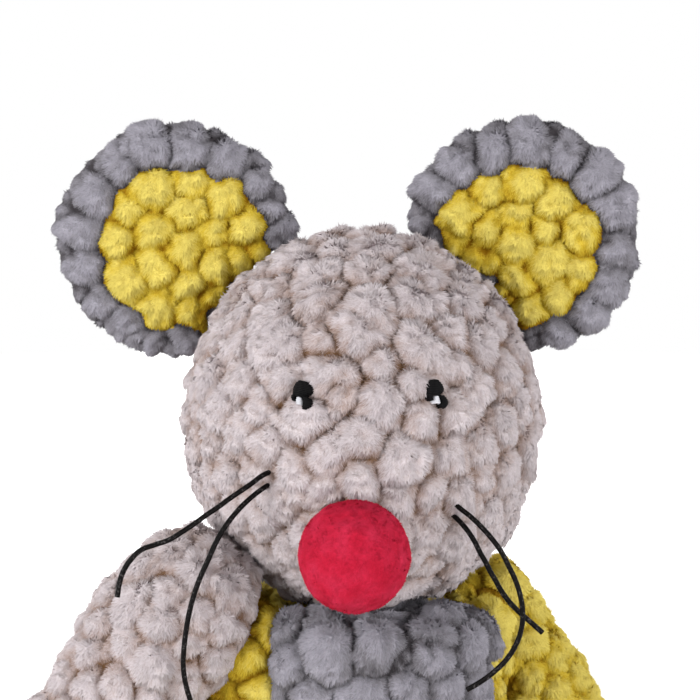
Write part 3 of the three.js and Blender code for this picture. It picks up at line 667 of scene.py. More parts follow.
def kept(tree, name, kind="FLOAT"):
    """What was kept for each point of the cloth."""
    node = add_node(tree, "GeometryNodeInputNamedAttribute", {"Name": name}, data_type=kind)
    return node.outputs["Attribute"]


# %% Pile tree
GEOMETRY = "NodeSocketGeometry"
TUFT_LEAN = 0.6
STRAY_LEAN = 0.3
SHADE_LEAN = 1.4  # how much of the lean of a clump of fibres shows in its shade
SHORTEST = 0.45  # the length of a fibre deep in a crevice, as a share of one on a knob
UNEVEN_LENGTH = {2: 0.6, 3: 1.2}  # the least and the most, by their places among the node's inputs


def pile_tree():
    tree, given, result = new_tree(
        "Pile", "GeometryNodeTree",
        {"Cloth": GEOMETRY, "Density": FLOAT, "Length": FLOAT, "Width": FLOAT, "Upright": FLOAT,
         "Comb": FLOAT, "Seed": "NodeSocketInt"},
        {"Pile": GEOMETRY},
    )
    cloth, density, length, width, upright, comb, seed = given.outputs[:7]
    scatter = add_node(
        tree, "GeometryNodeDistributePointsOnFaces",
        {"Mesh": cloth, "Density": product(tree, density, kept(tree, "free")), "Seed": seed},
        distribute_method="RANDOM")
    normal = scatter.outputs["Normal"]

    place = add_node(tree, "GeometryNodeInputPosition").outputs[0]
    tufts = add_node(tree, "ShaderNodeTexNoise", {"Vector": place, "Scale": 1 / TUFT}).outputs["Color"]
    clumped = stretched(tree, vectors(tree, "SUBTRACT", tufts, (0.5, 0.5, 0.5)), 2 * TUFT_LEAN)
    stray = add_node(tree, "FunctionNodeRandomValue", {0: (-1, -1, -1)}, data_type="FLOAT_VECTOR").outputs[0]
    leant = along_cloth(tree, vectors(tree, "ADD", clumped, stretched(tree, stray, STRAY_LEAN)), normal)
    combed = vectors(tree, "ADD", stretched(tree, kept(tree, "comb", "FLOAT_VECTOR"), comb), leant)
    pointing = vectors(tree, "ADD", stretched(tree, normal, upright), combed)
    turn = add_node(tree, "FunctionNodeAlignRotationToVector", {"Vector": pointing}, axis="Z")
    face_out = add_node(tree, "FunctionNodeAlignRotationToVector",
                        {"Rotation": turn.outputs["Rotation"], "Vector": normal}, axis="Y", pivot_axis="Z")

    uneven = add_node(tree, "FunctionNodeRandomValue", UNEVEN_LENGTH, data_type="FLOAT").outputs[1]
    cropped = add_node(tree, "ShaderNodeMapRange", {"Value": kept(tree, "tone"), "To Min": SHORTEST})
    grown = product(tree, product(tree, length, cropped.outputs["Result"]), uneven)
    size = add_node(tree, "ShaderNodeCombineXYZ", {"X": width, "Y": width, "Z": grown})

    shade = vectors(tree, "ADD", normal, stretched(tree, clumped, SHADE_LEAN))
    shaded = add_node(tree, "GeometryNodeStoreNamedAttribute",
                      {"Geometry": scatter.outputs["Points"], "Name": "shade", "Value": shade},
                      data_type="FLOAT_VECTOR", domain="POINT")
    model = add_node(tree, "GeometryNodeObjectInfo", {"Object": fibre})
    plant = add_node(tree, "GeometryNodeInstanceOnPoints", {
        "Points": shaded.outputs["Geometry"], "Instance": model.outputs["Geometry"],
        "Rotation": face_out.outputs["Rotation"], "Scale": size.outputs["Vector"]})
    real = add_node(tree, "GeometryNodeRealizeInstances", {"Geometry": plant.outputs["Instances"]})
    feed(tree, result, {"Pile": real.outputs["Geometry"]})
    return tree


PILE_TREE = pile_tree()
PILE_SOCKETS = {item.name: item.identifier for item in PILE_TREE.interface.items_tree}
print("pile tree:", len(PILE_TREE.nodes), "nodes")


# %% Growing a pile
PILE_DENSITY = 7e6  # fibres on a square metre
TONE_STRAY = 0.06  # how much fibres differ in tone from their cloth
UPRIGHT = 0.26  # how far a fibre stands off the cloth, beside its lean
COMBED = 1.2


def grow_pile(cloth, name, look, seed, density=1.0, length=1.0, width=1.0):
    """A new piece: the fibres on a cloth that has tone and free shares."""
    pile = copy_piece(cloth, name)
    scattered = pile.modifiers.new("Pile", "NODES")
    scattered.node_group = PILE_TREE
    values = {"Density": PILE_DENSITY * density, "Length": length, "Width": width, "Upright": UPRIGHT,
              "Comb": COMBED, "Seed": seed}
    for socket, value in values.items():
        scattered[PILE_SOCKETS[socket]] = value
    bpy.ops.object.modifier_apply(modifier=scattered.name)
    points = points_of(pile)
    points[:, 2] = np.maximum(points[:, 2], 0)
    put(pile, points)
    mesh = pile.data
    fibres = len(mesh.vertices) // CORNERS
    own = np.random.default_rng(seed).normal(0, TONE_STRAY, fibres).repeat(CORNERS)
    across = np.clip(numbers(pile, "tone") + own, 0.04, 0.96) + 0.03 * numbers(pile, "side")
    upwards = 0.02 + 0.96 * numbers(pile, "height")
    corners = read(mesh.loops, "vertex_index", 1, np.int64)[:, 0]
    for layer in list(mesh.uv_layers):
        mesh.uv_layers.remove(layer)
    layer = mesh.uv_layers.new(name=PILE_MAP)
    layer.data.foreach_set("uv", np.stack([across, upwards], 1)[corners].ravel())
    shade = read(mesh.attributes["shade"].data, "vector", 3, np.float32)
    mesh.normals_split_custom_set_from_vertices(shade / np.linalg.norm(shade, axis=1)[:, None])
    for extra in ("tone", "free", "comb", "side", "height", "shade"):
        mesh.attributes.remove(mesh.attributes[extra])
    surface(pile, piles[look])
    print(name, "has", fibres, "fibres")
    return pile


# %% [markdown]
# ## Where bodies meet
# On the toy, plush that another part lies against is pressed flat, and the gap beside it lies in shade. Rays
# could find the gaps while the picture is rendered, but measuring once, from each point to the solids of
# the other bodies, serves three ends: fibres are left out where a body touches, shade is painted into a gap
# by lowering the tone, and a form can be filled out until it almost meets its neighbour.

# %% Gaps
GAP_LIMIT = 12 * MM
TOUCHING = 0.2 * MM
FREE_AFTER = 0.8 * MM
# The painted shade in a gap is deepest where bodies touch, and this is the share of the tone left there.
TONE_LEFT_IN_SHADE = 0.1  # what is left of the tone where bodies touch


def clearance(piece, neighbours):
    """How far each point of a piece lies from the nearest of some solids, up to a limit."""
    gaps = np.full(len(piece.data.vertices), GAP_LIMIT)
    for node in neighbours:
        solid = frame["nodes"][node].data
        tree = BVHTree.FromPolygons([v.co for v in solid.vertices], [p.vertices for p in solid.polygons])
        for index, vertex in enumerate(piece.data.vertices):
            gap = tree.find_nearest(vertex.co, GAP_LIMIT)[3]
            if gap is not None:
                gaps[index] = min(gaps[index], gap)
    return gaps


def free_share(piece, neighbours):
    """1 where a piece's pile stands free, and 0 where another body lies against it."""
    return np.clip((clearance(piece, neighbours) - TOUCHING) / FREE_AFTER, 0, 1)


def paint_gap_shade(piece, neighbours, depth):
    """Paints shade into a piece's plush in the gap beside its neighbours, by lowering its tone."""
    gap = np.clip(clearance(piece, neighbours) / depth, 0, 1)
    tone = numbers(piece, "tone") * (TONE_LEFT_IN_SHADE + (1 - TONE_LEFT_IN_SHADE) * gap)
    piece.data.attributes["tone"].data.foreach_set("value", tone.astype(np.float32))


def fill_out(piece, share, most, neighbours, left_free):
    """Swells a form by each point's share of the most, and stops short of its neighbours."""
    room = np.clip(clearance(piece, neighbours) - left_free, 0, most)
    put(piece, points_of(piece) + normals_of(piece) * (share * room)[:, None])


def ramp(values, start, end):
    """0 up to a start, 1 from an end on, and even between them."""
    return np.clip((values - start) / (end - start), 0, 1)


def near(gap, width):
    """1 on a line, and falling to 0 beside it."""
    return np.exp(-((gap / width) ** 2))


# %% [markdown]
# ## Finishing a skin
# A sewn panel is an open sheet when it is cut from its body's form. It could be thickened first, but then
# fibres would grow on its inside and its edges too. So it grows its pile first, on its outside only, and
# is then given the thickness of cloth. The cloth and its pile ride on the same body, and the cloth stands
# for its solid.

# %% Finishing
CLOTH_THICKNESS = 1.2 * MM


def finish_skin(piece, node, body, look, seed, sheet=True, **pile):
    hair = grow_pile(piece, piece.name + "_pile", look, seed, **pile)
    if sheet:
        apply_modifier(piece, "SOLIDIFY", thickness=CLOTH_THICKNESS, offset=-1)
    only(piece)
    bpy.ops.object.shade_smooth()
    surface(piece, cloths[look])
    take_place(piece, node, body)
    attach(hair, body)


def cut(piece, at, facing_kept):
    """Cuts a piece along a plane and keeps the side that the direction points to."""
    edit(piece, lambda: bpy.ops.mesh.bisect(plane_co=at, plane_no=facing_kept, clear_inner=True))


# %% [markdown]
# ## Torso
# The torso is four panels: grey in front and behind, yellow at the sides. They meet along upright seams
# that all run to one line under the seat. Each could be stuffed by itself, but the rows of knobs run on
# from panel to panel, so the whole torso is stuffed and knobbed at once, and then cut. In front it is
# filled out under the chin, where the head rests on it, and its knobs are lower there.

# %% Torso seams
PANELS_MEET = Vector((0, 0.012, 0))
FRONT_SEAM = 40  # degrees round from the front, about the line where the panels meet
BACK_SEAM = 122.5
NECK = np.array((0.004, -0.0016))
NECK_HIDDEN = 11 * MM  # the head hides the torso this far round the neck
BELLY = np.array((0, 0, 0.052))
SEAM_HELD = 4 * MM  # how far from a seam the cloth is still held by it
SEAT_HELD = 8 * MM


def bearing(degrees):
    """The direction in which a seam runs out at a bearing, and the direction of growing bearings."""
    turn = math.radians(degrees)
    return (np.array((math.sin(turn), -math.cos(turn), 0)), np.array((math.cos(turn), math.sin(turn), 0)))


def torso_seam_gap(points):
    """How far points lie from the nearest of the torso's seams."""
    gap = np.full(len(points), 1.0)
    for degrees in (-BACK_SEAM, -FRONT_SEAM, FRONT_SEAM, BACK_SEAM):
        out, onward = bearing(degrees)
        away = points - np.array(PANELS_MEET)
        gap = np.minimum(gap, np.where(away @ out > 0, np.abs(away @ onward), 1.0))
    return gap


def from_neck(points):
    return np.linalg.norm(points[:, :2] - NECK, axis=1)


def under_head(points):
    return (from_neck(points) < NECK_HIDDEN) & (points[:, 2] > BELLY[2])


def torso_pins(points):
    hidden = under_head(points) | (points[:, 2] < SEAT_HELD)
    return np.maximum(near(torso_seam_gap(points), SEAM_HELD), hidden)


# %% Torso form
TORSO_NODES = ["belly_panel", "left_side_panel", "right_side_panel", "back_panel",
               "front_torso_stuffing", "back_torso_stuffing"]
TORSO_SKINS = TORSO_NODES[:4]
HEAD_NODES = ["face_panel", "back_of_head_panel", "head_stuffing"]
HEAD_SKINS = HEAD_NODES[:2]
TORSO_PITCH = (12 * MM, 8.6 * MM)
TORSO_RISE = 5 * MM
UNDER_CHIN = 8 * MM
CHIN_FREE = 3.5 * MM

chance = np.random.default_rng(11)
torso = stuffed("torso_form", TORSO_NODES, voxel=5 * MM, inset=2.2 * MM, puff=1.6 * MM, pins=torso_pins,
                fineness=2)
points = points_of(torso)
under_chin = ramp(points[:, 2], 70 * MM, 90 * MM) * ramp(from_neck(points), 14 * MM, 24 * MM)
under_chin *= ramp(-points[:, 1], 0, 18 * MM)
under_chin *= 0.25 + 0.75 * ramp(torso_seam_gap(points), 0, 12 * MM)
fill_out(torso, under_chin, UNDER_CHIN, HEAD_SKINS, CHIN_FREE)
seeds = knob_seeds(points_of(torso), BELLY, (0, 0, 1), TORSO_PITCH, chance)
low_by_head = 0.35 + 0.65 * clearance(torso, HEAD_SKINS) / GAP_LIMIT
raise_knobs(torso, seeds, TORSO_PITCH, TORSO_RISE * low_by_head, torso_seam_gap(points_of(torso)), chance,
            droop=0.6, shallow=0.75)
print("knobs on the torso:", len(seeds))

# %% Torso panels
# The solid and the look of each panel, and the bearings of its seams
TORSO_PANELS = {
    "belly": ("belly_panel", "grey", -FRONT_SEAM, FRONT_SEAM),
    "left_side": ("left_side_panel", "yellow", FRONT_SEAM, BACK_SEAM),
    "back": ("back_panel", "grey", BACK_SEAM, 360 - BACK_SEAM),
    "right_side": ("right_side_panel", "yellow", -BACK_SEAM, -FRONT_SEAM),
}
LIMBS = ["right_arm", "left_arm", "right_leg", "left_leg", "tail"]
BALD_SEAT = 2 * MM

beside_torso = [limb + "_skin" for limb in LIMBS]
# Painted shade on the torso in the gaps beside the limbs.
paint_gap_shade(torso, beside_torso, GAP_LIMIT)
points = points_of(torso)
keep(torso, "free", free_share(torso, beside_torso) * ~under_head(points) * (points[:, 2] > BALD_SEAT))
for number, (name, (node, look, start, end)) in enumerate(TORSO_PANELS.items()):
    panel = copy_piece(torso, name + "_plush")
    cut(panel, PANELS_MEET, bearing(start)[1])
    cut(panel, PANELS_MEET, -bearing(end)[1])
    finish_skin(panel, node, "torso", look, 20 + number)
bpy.data.objects.remove(torso)

# %% [markdown]
# ## Head
# The head is an egg with a muzzle, sewn from a face and a back. Its rows of knobs run round the muzzle. Like
# the torso it is knobbed as one form and then cut, so that the rows cross the seam unbroken, as the plush
# hides it on the toy. The eyes are drawn into it as if they were seams.

# %% Head
FACE_SEAM_BACK = 9 * MM
TURNED = np.array(Matrix.Rotation(HEAD_TURN, 3, "Z"))
BACKWARD = TURNED @ (0, 1, 0)
SEAM_PLACE = np.array(HEAD_CENTRE) + BACKWARD * FACE_SEAM_BACK
NAPE_DROP = 38 * MM  # how far under its middle the head's part over the neck begins
HEAD_PITCH = (11.5 * MM, 10 * MM)
HEAD_RISE = 4 * MM
EYES = ["right_eye", "left_eye"]
EARS = ["right_ear", "left_ear"]
EAR_NODES = ["front_ring", "patch", "back", "pad"]


def over_neck(points):
    return (from_neck(points) < NECK_HIDDEN) & (points[:, 2] < HEAD_CENTRE.z - NAPE_DROP)


def head_pins(points):
    seam_gap = np.abs((points - SEAM_PLACE) @ BACKWARD)
    return np.maximum(near(seam_gap, SEAM_HELD), over_neck(points))


chance = np.random.default_rng(12)
head = stuffed("head_form", HEAD_NODES, voxel=4.2 * MM, inset=1.8 * MM, puff=1.4 * MM, pins=head_pins,
               fineness=2)
seeds = knob_seeds(points_of(head), HEAD_CENTRE, TURNED @ MUZZLE, HEAD_PITCH, chance)
raise_knobs(head, seeds, HEAD_PITCH, HEAD_RISE, clearance(head, EYES), chance, shallow=0.12)
beside_head = ["nose_cover"] + EYES + [f"{ear}_{part}" for ear in EARS for part in EAR_NODES[:3]]
keep(head, "free", free_share(head, beside_head) * ~over_neck(points_of(head)))
face = copy_piece(head, "face_plush")
cut(face, SEAM_PLACE, -BACKWARD)
finish_skin(face, "face_panel", "head", "beige", 31)
nape = copy_piece(head, "back_of_head_plush")
cut(nape, SEAM_PLACE, BACKWARD)
finish_skin(nape, "back_of_head_panel", "head", "beige", 32)
bpy.data.objects.remove(head)

# %% [markdown]
# ## Nose
# The nose is a ball of red fleece, gathered where it is sewn on. A smooth ball would look like plastic.
# Fleece has no knobs, but its fibres are fine, short and close together, and brushed every way, so it gets
# the same pile as plush with smaller and denser blades.

# %% Nose
FLEECE_MOTTLE = 4 * MM
BRUSHED = 0.5  # how much the fibres differ in direction

chance = np.random.default_rng(13)
nose = stuffed("nose_fleece", ["nose_cover", "nose_stuffing"], voxel=2.2 * MM, inset=-0.7 * MM, puff=0.4 * MM,
               pins=lambda points: np.zeros(len(points)), fineness=1)
keep(nose, "tone", np.clip(0.65 + 0.3 * lumps(points_of(nose), FLEECE_MOTTLE), 0, 1))
brushed = chance.normal(0, BRUSHED, (len(nose.data.vertices), 3)) + NAP
keep(nose, "comb", level_parts(brushed, normals_of(nose)))
keep(nose, "free", np.clip(clearance(nose, ["face_panel"]) / (2 * MM), 0, 1))
finish_skin(nose, "nose_cover", "head", "red", 41, sheet=False, density=2, length=0.6, width=0.6)

# %% [markdown]
# ## Ears
# Each ear is a puffed disc, hollow in front, with a yellow patch let into its grey front. Its rows of
# knobs are rings about its middle. The patch is an oval, and could be cut out as one, but on the toy its
# seam is lost between the knobs. So the front is parted along the crevices: the knobs whose tops lie in
# the oval are the patch.

# %% Ear frame
EAR_BACK = 12 * MM
EAR_MIDDLES = {"right_ear": Vector((-52.5, 0, 50)) * MM, "left_ear": Vector((45.5, 0, 50.5)) * MM}
PATCH_HALF = np.array((43, 48)) * MM / 2
PATCH_TOWARDS_HEAD = 3.5 * MM
INWARD = np.linalg.inv(TURNED)


def head_places(points):
    """Points of the toy in the head's own frame."""
    return (points - np.array(HEAD_CENTRE)) @ INWARD.T


def patch_share(points, centre):
    """How far points lie from the middle of an ear's patch: 1 on the oval's edge."""
    flat = head_places(points)[:, [0, 2]] - np.array((centre.x, centre.z))
    return np.linalg.norm(flat / PATCH_HALF, axis=1)


def keep_faces(piece, wanted):
    """Deletes the faces of a piece that aren't wanted."""
    edit(piece, lambda: bpy.ops.mesh.select_all(action="DESELECT"),
         lambda: bpy.ops.mesh.select_mode(type="FACE"))
    piece.data.polygons.foreach_set("select", ~wanted)
    edit(piece, lambda: bpy.ops.mesh.delete(type="FACE"), lambda: bpy.ops.mesh.select_mode(type="VERT"),
         whole=False)


def share_on_faces(piece, name):
    """The mean of a kept number on each face."""
    values = numbers(piece, name)
    return np.array([values[list(face.vertices)].mean() for face in piece.data.polygons])


# %% Ears
EAR_PITCH = (10.5 * MM, 9.3 * MM)
EAR_RISE = 4 * MM
NO_SEAM = 1.0  # a distance in metres that no seam is near


def make_ear(ear, seed):
    chance = np.random.default_rng(seed)
    patch = EAR_MIDDLES[ear] * (1 - PATCH_TOWARDS_HEAD / EAR_MIDDLES[ear].length)
    plane = np.array(HEAD_CENTRE) + BACKWARD * EAR_BACK

    def pins(points):
        gap = np.abs(patch_share(points, patch) - 1) * PATCH_HALF.mean()
        return near(gap, SEAM_HELD) * (head_places(points)[:, 1] < EAR_BACK)

    form = stuffed(ear + "_form", [f"{ear}_{part}" for part in EAR_NODES], voxel=4 * MM, inset=0.9 * MM,
                   puff=1.0 * MM, pins=pins, fineness=2)
    centre = np.array(on_toy(patch + Vector((0, EAR_BACK, 0))))
    seeds = knob_seeds(points_of(form), centre, -BACKWARD, EAR_PITCH, chance, uneven=0.08)
    in_patch = (patch_share(seeds, patch) < 1) & (head_places(seeds)[:, 1] < EAR_BACK)
    own = raise_knobs(form, seeds, EAR_PITCH, EAR_RISE, np.full(len(form.data.vertices), NO_SEAM), chance,
                      shallow=0.5, sides=in_patch)
    keep(form, "patch", in_patch[own])
    keep(form, "free", free_share(form, HEAD_SKINS))
    rear = copy_piece(form, ear + "_back_plush")
    cut(rear, plane, BACKWARD)
    finish_skin(rear, ear + "_back", ear, "grey", seed + 1)
    cut(form, plane, -BACKWARD)
    ring = copy_piece(form, ear + "_ring_plush")
    keep_faces(ring, share_on_faces(ring, "patch") <= 0.5)
    finish_skin(ring, ear + "_front_ring", ear, "grey", seed + 2)
    form.name = ear + "_patch_plush"
    keep_faces(form, share_on_faces(form, "patch") > 0.5)
    finish_skin(form, ear + "_patch", ear, "yellow", seed + 3)


for number, ear in enumerate(EARS):
    make_ear(ear, 50 + 10 * number)

# %% [markdown]
# ## Arms, legs and tail
# The limbs are stuffed bags, closed but for the mouth that is sewn to the torso. Their rows of knobs run
# round their length. An axis could be typed in for each, but the direction in which a limb's points spread
# most is its length, whatever its pose. The right shoulder is filled out until it almost meets the cheek,
# as in the photograph, and shade is painted into the plush beside the torso.

# %% Limbs
# The look of each limb, and how far its cloth is drawn in under its knobs, in millimetres
LIMB_LOOKS = {"right_arm": ("beige", -1), "left_arm": ("yellow", 1.2), "right_leg": ("yellow", 1.4),
              "left_leg": ("beige", 1.4), "tail": ("beige", 0.6)}
# The cloth of a limb, and the pitch and rise of its knobs
STOUT = {"voxel": 4.5 * MM, "puff": 1.4 * MM, "fineness": 2}, (9.5 * MM, 8.5 * MM), 3.2 * MM
THIN = {"voxel": 2.5 * MM, "puff": 0.6 * MM, "fineness": 1}, (5 * MM, 5 * MM), 1.0 * MM
SOLE_HELD = 3 * MM
BALD_SOLE = 1.5 * MM
SHOULDER = (78 * MM, 98 * MM)  # the heights between which the right arm's filling out grows
SHOULDER_FILLED = 5 * MM
SHOULDER_FREE = 1.6 * MM
# How far from the torso shade is painted into a limb's plush.
LIMB_SHADE_DEPTH = 5 * MM


def make_limb(limb, look, inset, seed):
    chance = np.random.default_rng(seed)
    cloth, pitch, rise = THIN if limb == "tail" else STOUT
    form = stuffed(limb + "_plush", [limb + "_skin", limb + "_stuffing"], inset=inset * MM,
                   pins=lambda points: (points[:, 2] < SOLE_HELD) * 1.0, **cloth)
    if limb == "right_arm":
        fill_out(form, ramp(points_of(form)[:, 2], *SHOULDER), SHOULDER_FILLED, TORSO_SKINS + HEAD_SKINS,
                 SHOULDER_FREE)
    points = points_of(form)
    centre = points.mean(0)
    axis = np.linalg.svd(points - centre, full_matrices=False)[2][0]
    seeds = knob_seeds(points, centre, axis, pitch, chance)
    raise_knobs(form, seeds, pitch, rise, np.full(len(points), NO_SEAM), chance)
    # Painted shade in the gap beside the torso.
    paint_gap_shade(form, TORSO_SKINS, LIMB_SHADE_DEPTH)
    keep(form, "free", free_share(form, TORSO_SKINS) * (points_of(form)[:, 2] > BALD_SOLE))
    finish_skin(form, limb + "_skin", limb, look, seed, sheet=False)


for number, (limb, (look, inset)) in enumerate(LIMB_LOOKS.items()):
    make_limb(limb, look, inset, 80 + number)
bpy.data.objects.remove(fibre)

# %% [markdown]
# ## Stuffing
# Under the skins lies white polyester fibre, packed in the same forms. It could have fibres like the plush,
# but nothing of it shows, so it stays simple: each filling is remeshed, drawn in under the knobs and
# roughened.

# %% Stuffing
LUMP = 5 * MM
LUMP_SHARE = 0.15  # the height of the lumps, as a share of how far a filling is drawn in
# What each filling lies in, the voxel of its mesh and how far it is drawn in, in millimetres
FILLINGS = {
    "front_torso_stuffing": ("torso", 4, 4), "back_torso_stuffing": ("torso", 4, 4),
    "head_stuffing": ("head", 4, 4), "nose_stuffing": ("head", 2, 1),
    "right_ear_pad": ("right_ear", 2, 2), "left_ear_pad": ("left_ear", 2, 2),
    "right_arm_stuffing": ("right_arm", 3, 3), "left_arm_stuffing": ("left_arm", 3, 3),
    "right_leg_stuffing": ("right_leg", 3, 3), "left_leg_stuffing": ("left_leg", 3, 3),
    "tail_stuffing": ("tail", 1.2, 1),
}

fibrefill = principled("fibrefill", 1.0, 0.05, {"Base Color": rgb(236, 235, 232), "Sheen Weight": 0.3})[0]
for node, (body, voxel, inset) in FILLINGS.items():
    filling = drawn_in(node + "_fibre", [node], voxel * MM, inset * MM, 4)
    points = points_of(filling)
    put(filling, points + normals_of(filling) * lumps(points, LUMP)[:, None] * inset * LUMP_SHARE * MM)
    only(filling)
    bpy.ops.object.shade_smooth()
    surface(filling, fibrefill)
    take_place(filling, node, body)
print("fillings:", len(FILLINGS))

# %% [markdown]
# ## Eyes
# The eyes are sewn in satin stitch: threads laid side by side, each going into the plush at both ends. A
# painted oval would be flat, and the gaps between real threads catch light. So a thread is a short curve
# with two points whose handles rise out of the cloth, and it arches. The black threads leave a notch on
# one side, and white threads fill the glint.

# %% Stitches
THREAD = 0.62 * MM
STITCH_SLANT = -0.12
STITCH_SUNK = 1.6  # millimetres
STITCH_ARCH = 0.15  # how far in from a stitch's ends its handles lie, as a share of its length
# Height above the eye's middle, and the two ends towards the toy's left, in millimetres
BLACK_STITCHES = (
    (3.2, -1.5, 1.2), (2.75, -2.1, 1.8), (2.3, -2.4, 2.2), (1.85, -2.6, 2.4), (1.4, -2.75, 2.5),
    (0.95, -2.8, 2.4), (0.5, -2.8, 2.0), (0.05, -2.8, 1.4), (-0.4, -2.75, 1.2), (-0.85, -2.7, -1.5),
    (-0.85, 0.1, 2.2), (-1.3, -2.6, -1.7), (-1.3, 0.3, 2.6), (-1.75, -2.3, -1.6), (-1.75, 0.5, 2.9),
    (-2.2, 0.5, 3.0), (-2.65, 0.4, 2.9), (-3.1, 0.3, 2.5), (-3.5, 0.6, 1.9),
)
WHITE_STITCHES = ((-1.15, -1.2, 0.2), (-1.6, -1.4, 0.4), (-2.05, -1.4, 0.5), (-2.5, -1.2, 0.5))


def stitch(points):
    """A thread that goes in at two places and arches between them, as a mesh."""
    bpy.ops.curve.primitive_bezier_curve_add()
    thread = bpy.context.object
    for point, (place, arch) in zip(thread.data.splines[0].bezier_points, points):
        point.handle_left_type = point.handle_right_type = "FREE"
        point.co = place
        point.handle_left = point.handle_right = arch
    thread.data.bevel_depth = THREAD / 2
    thread.data.bevel_resolution = 2
    thread.data.resolution_u = 6
    bpy.ops.object.convert(target="MESH")
    return bpy.context.object


# %% Satin
def plain(name, colour, roughness, shine):
    """A material of one colour."""
    return principled(name, roughness, shine, {"Base Color": colour})[0]


def satin(name, node, eye, stitches, material, rise):
    """A patch of stitches on an eye's place."""
    low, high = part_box(eye)
    middle = (low + high) / 2
    out = (middle - HEAD_CENTRE).normalized()
    upwards = (Vector((0, 0, 1)) - out * out.z).normalized()
    left = upwards.cross(out)
    threads = []
    for height, start, end in stitches:
        ends = []
        for aside, inner in ((start, STITCH_ARCH), (end, -STITCH_ARCH)):
            place = middle + left * aside * MM + upwards * (height + STITCH_SLANT * aside) * MM
            arch = place + out * rise + left * inner * (end - start) * MM
            ends.append((place - out * STITCH_SUNK * MM, arch))
        threads.append(stitch(ends))
    only(*threads)
    bpy.ops.object.join()
    patch = bpy.context.object
    bpy.ops.object.transform_apply()
    bpy.ops.object.shade_smooth()
    patch.name = name
    surface(patch, material)
    take_place(patch, node, "head")
    print(name, "has", len(threads), "threads")


black_thread = plain("black_thread", rgb(9, 8, 9), 0.5, 0.08)
white_thread = plain("white_thread", rgb(196, 196, 201), 0.5, 0.2)
for eye in EYES:
    satin(eye + "_satin", eye, eye, BLACK_STITCHES, black_thread, 1.6 * MM)
    satin(eye + "_glint_satin", eye + "_glint", eye, WHITE_STITCHES, white_thread,
          1.7 * MM)

# %% [markdown]
# ## Cord, thread and squeaker
# The whiskers are waxed, so they have a low shine, and pale flecks are painted highlights for the glints
# where the strands turn. The twist could be modelled, but its strands would be about a pixel wide, so the
# glints are painted in the material. The neck thread and the squeaker's plastic keep their solids and take
# only a surface. The squeaker's folding wall is a copy of its solid, because it has to flatten when the
# squeaker is pressed.

# %% Waxed cord
# The scale of the painted highlights along the cord.
GLINT_SCALE = 1400  # the scale of the flecks

waxed, tree, shader = principled("waxed_cord", 0.45, 0.06)
place = add_node(tree, "ShaderNodeTexCoord").outputs["Object"]
glint_noise = add_node(tree, "ShaderNodeTexNoise", {"Vector": place, "Scale": GLINT_SCALE}).outputs["Fac"]
# Painted highlights: pale flecks on the black cord stand for the glints of its waxed strands.
painted_glint = blend_colours(tree, remap(tree, glint_noise, 0.56, 0.7), rgb(12, 10, 10), rgb(66, 63, 63))
feed(tree, shader, {"Base Color": painted_glint})
for cord in whiskers:
    surface(cord, waxed)
print("waxed cords:", len(whiskers))

neck_cotton = plain("neck_thread_cotton", rgb(168, 158, 154), 0.8, 0.2)
squeaker_plastic = plain("squeaker_plastic", rgb(226, 228, 224), 0.35, 0.5)
for node, material in (("neck_thread", neck_cotton), ("squeaker_base", squeaker_plastic),
                       ("squeaker_cap", squeaker_plastic), ("squeaker_reed", squeaker_plastic)):
    surface(frame["nodes"][node], material)

wall = copy_solids("squeaker_wall", ["squeaker_bellows"])
surface(wall, squeaker_plastic)
take_place(wall, "squeaker_bellows", "torso")
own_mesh(wall)

# %% [markdown]
# ## Light and floor
# Soft light comes from the front, a little from the toy's right and above. In the photograph all round the
# toy is white. A picture behind it could do that, but the floor has to keep the toy's shadow. So the floor
# and the surroundings shine white to the camera, and light the toy less than they seem to.

# %% Floor
WHITE = (1, 1, 1, 1)
FLOOR_RADIUS = 1.2
SHADOW_REACH = (0.2, 0.8)  # the distances from the toy between which the floor's glow grows
SHADOW_GLOW = 0.22


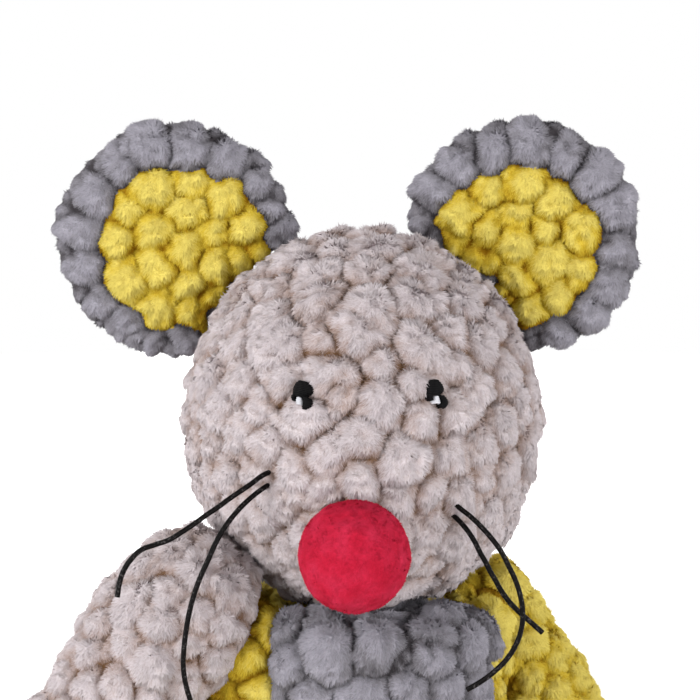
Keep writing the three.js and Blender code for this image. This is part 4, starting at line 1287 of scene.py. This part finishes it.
def seen_by(tree):
    """1 for the rays that show the surroundings: from the camera, and in shine and glass."""
    path = add_node(tree, "ShaderNodeLightPath")
    seen = path.outputs["Is Camera Ray"]
    for ray in ("Is Glossy Ray", "Is Transmission Ray"):
        either = add_node(tree, "ShaderNodeMath", {0: seen, 1: path.outputs[ray]}, operation="MAXIMUM")
        seen = either.outputs[0]
    return seen


bpy.ops.mesh.primitive_circle_add(vertices=96, radius=FLOOR_RADIUS, fill_type="NGON",
                                  location=(0, 0, -0.2 * MM))
floor = bpy.context.object
floor.name = "floor"
floor_paint, tree, shader = principled("floor_paint", 0.9, 0.1, {
    "Base Color": (0.9, 0.9, 0.9, 1), "Emission Color": WHITE})
place = add_node(tree, "ShaderNodeTexCoord").outputs["Object"]
from_toy = add_node(tree, "ShaderNodeVectorMath", {0: place}, operation="LENGTH").outputs["Value"]
glow = product(tree, remap(tree, from_toy, *SHADOW_REACH, SHADOW_GLOW, 1.0), seen_by(tree))
feed(tree, shader, {"Emission Strength": glow})
surface(floor, floor_paint)
print("floor:", round(2 * FLOOR_RADIUS, 1), "m across")

# %% Lamps and world
LAMP_SIZE = 0.8
# The place of each lamp, where it points and its power
LAMPS = {
    "key": ((-1.3, -0.45, 0.45), (0, 0, 0.14), 15),
    "fill": ((0.4, -1.25, 0.3), (0, 0, 0.12), 10),
    "rim": ((0.2, 1.2, 1.0), (0, 0, 0.14), 7),
}
SURROUNDING_LIGHT = 0.66

for name, (place, towards, power) in LAMPS.items():
    bpy.ops.object.light_add(type="AREA", location=place)
    light = bpy.context.object
    light.name = name
    light.rotation_euler = (Vector(towards) - Vector(place)).to_track_quat("-Z", "Y").to_euler()
    light.data.size = LAMP_SIZE
    light.data.energy = power

world = bpy.data.worlds.new("studio")
scene.world = world
world.use_nodes = True
tree = world.node_tree
strength = remap(tree, seen_by(tree), 0, 1, SURROUNDING_LIGHT, 1.0)
feed(tree, tree.nodes["Background"], {"Color": WHITE, "Strength": strength})
scene.view_settings.view_transform = "Standard"
print("lamps:", ", ".join(LAMPS))
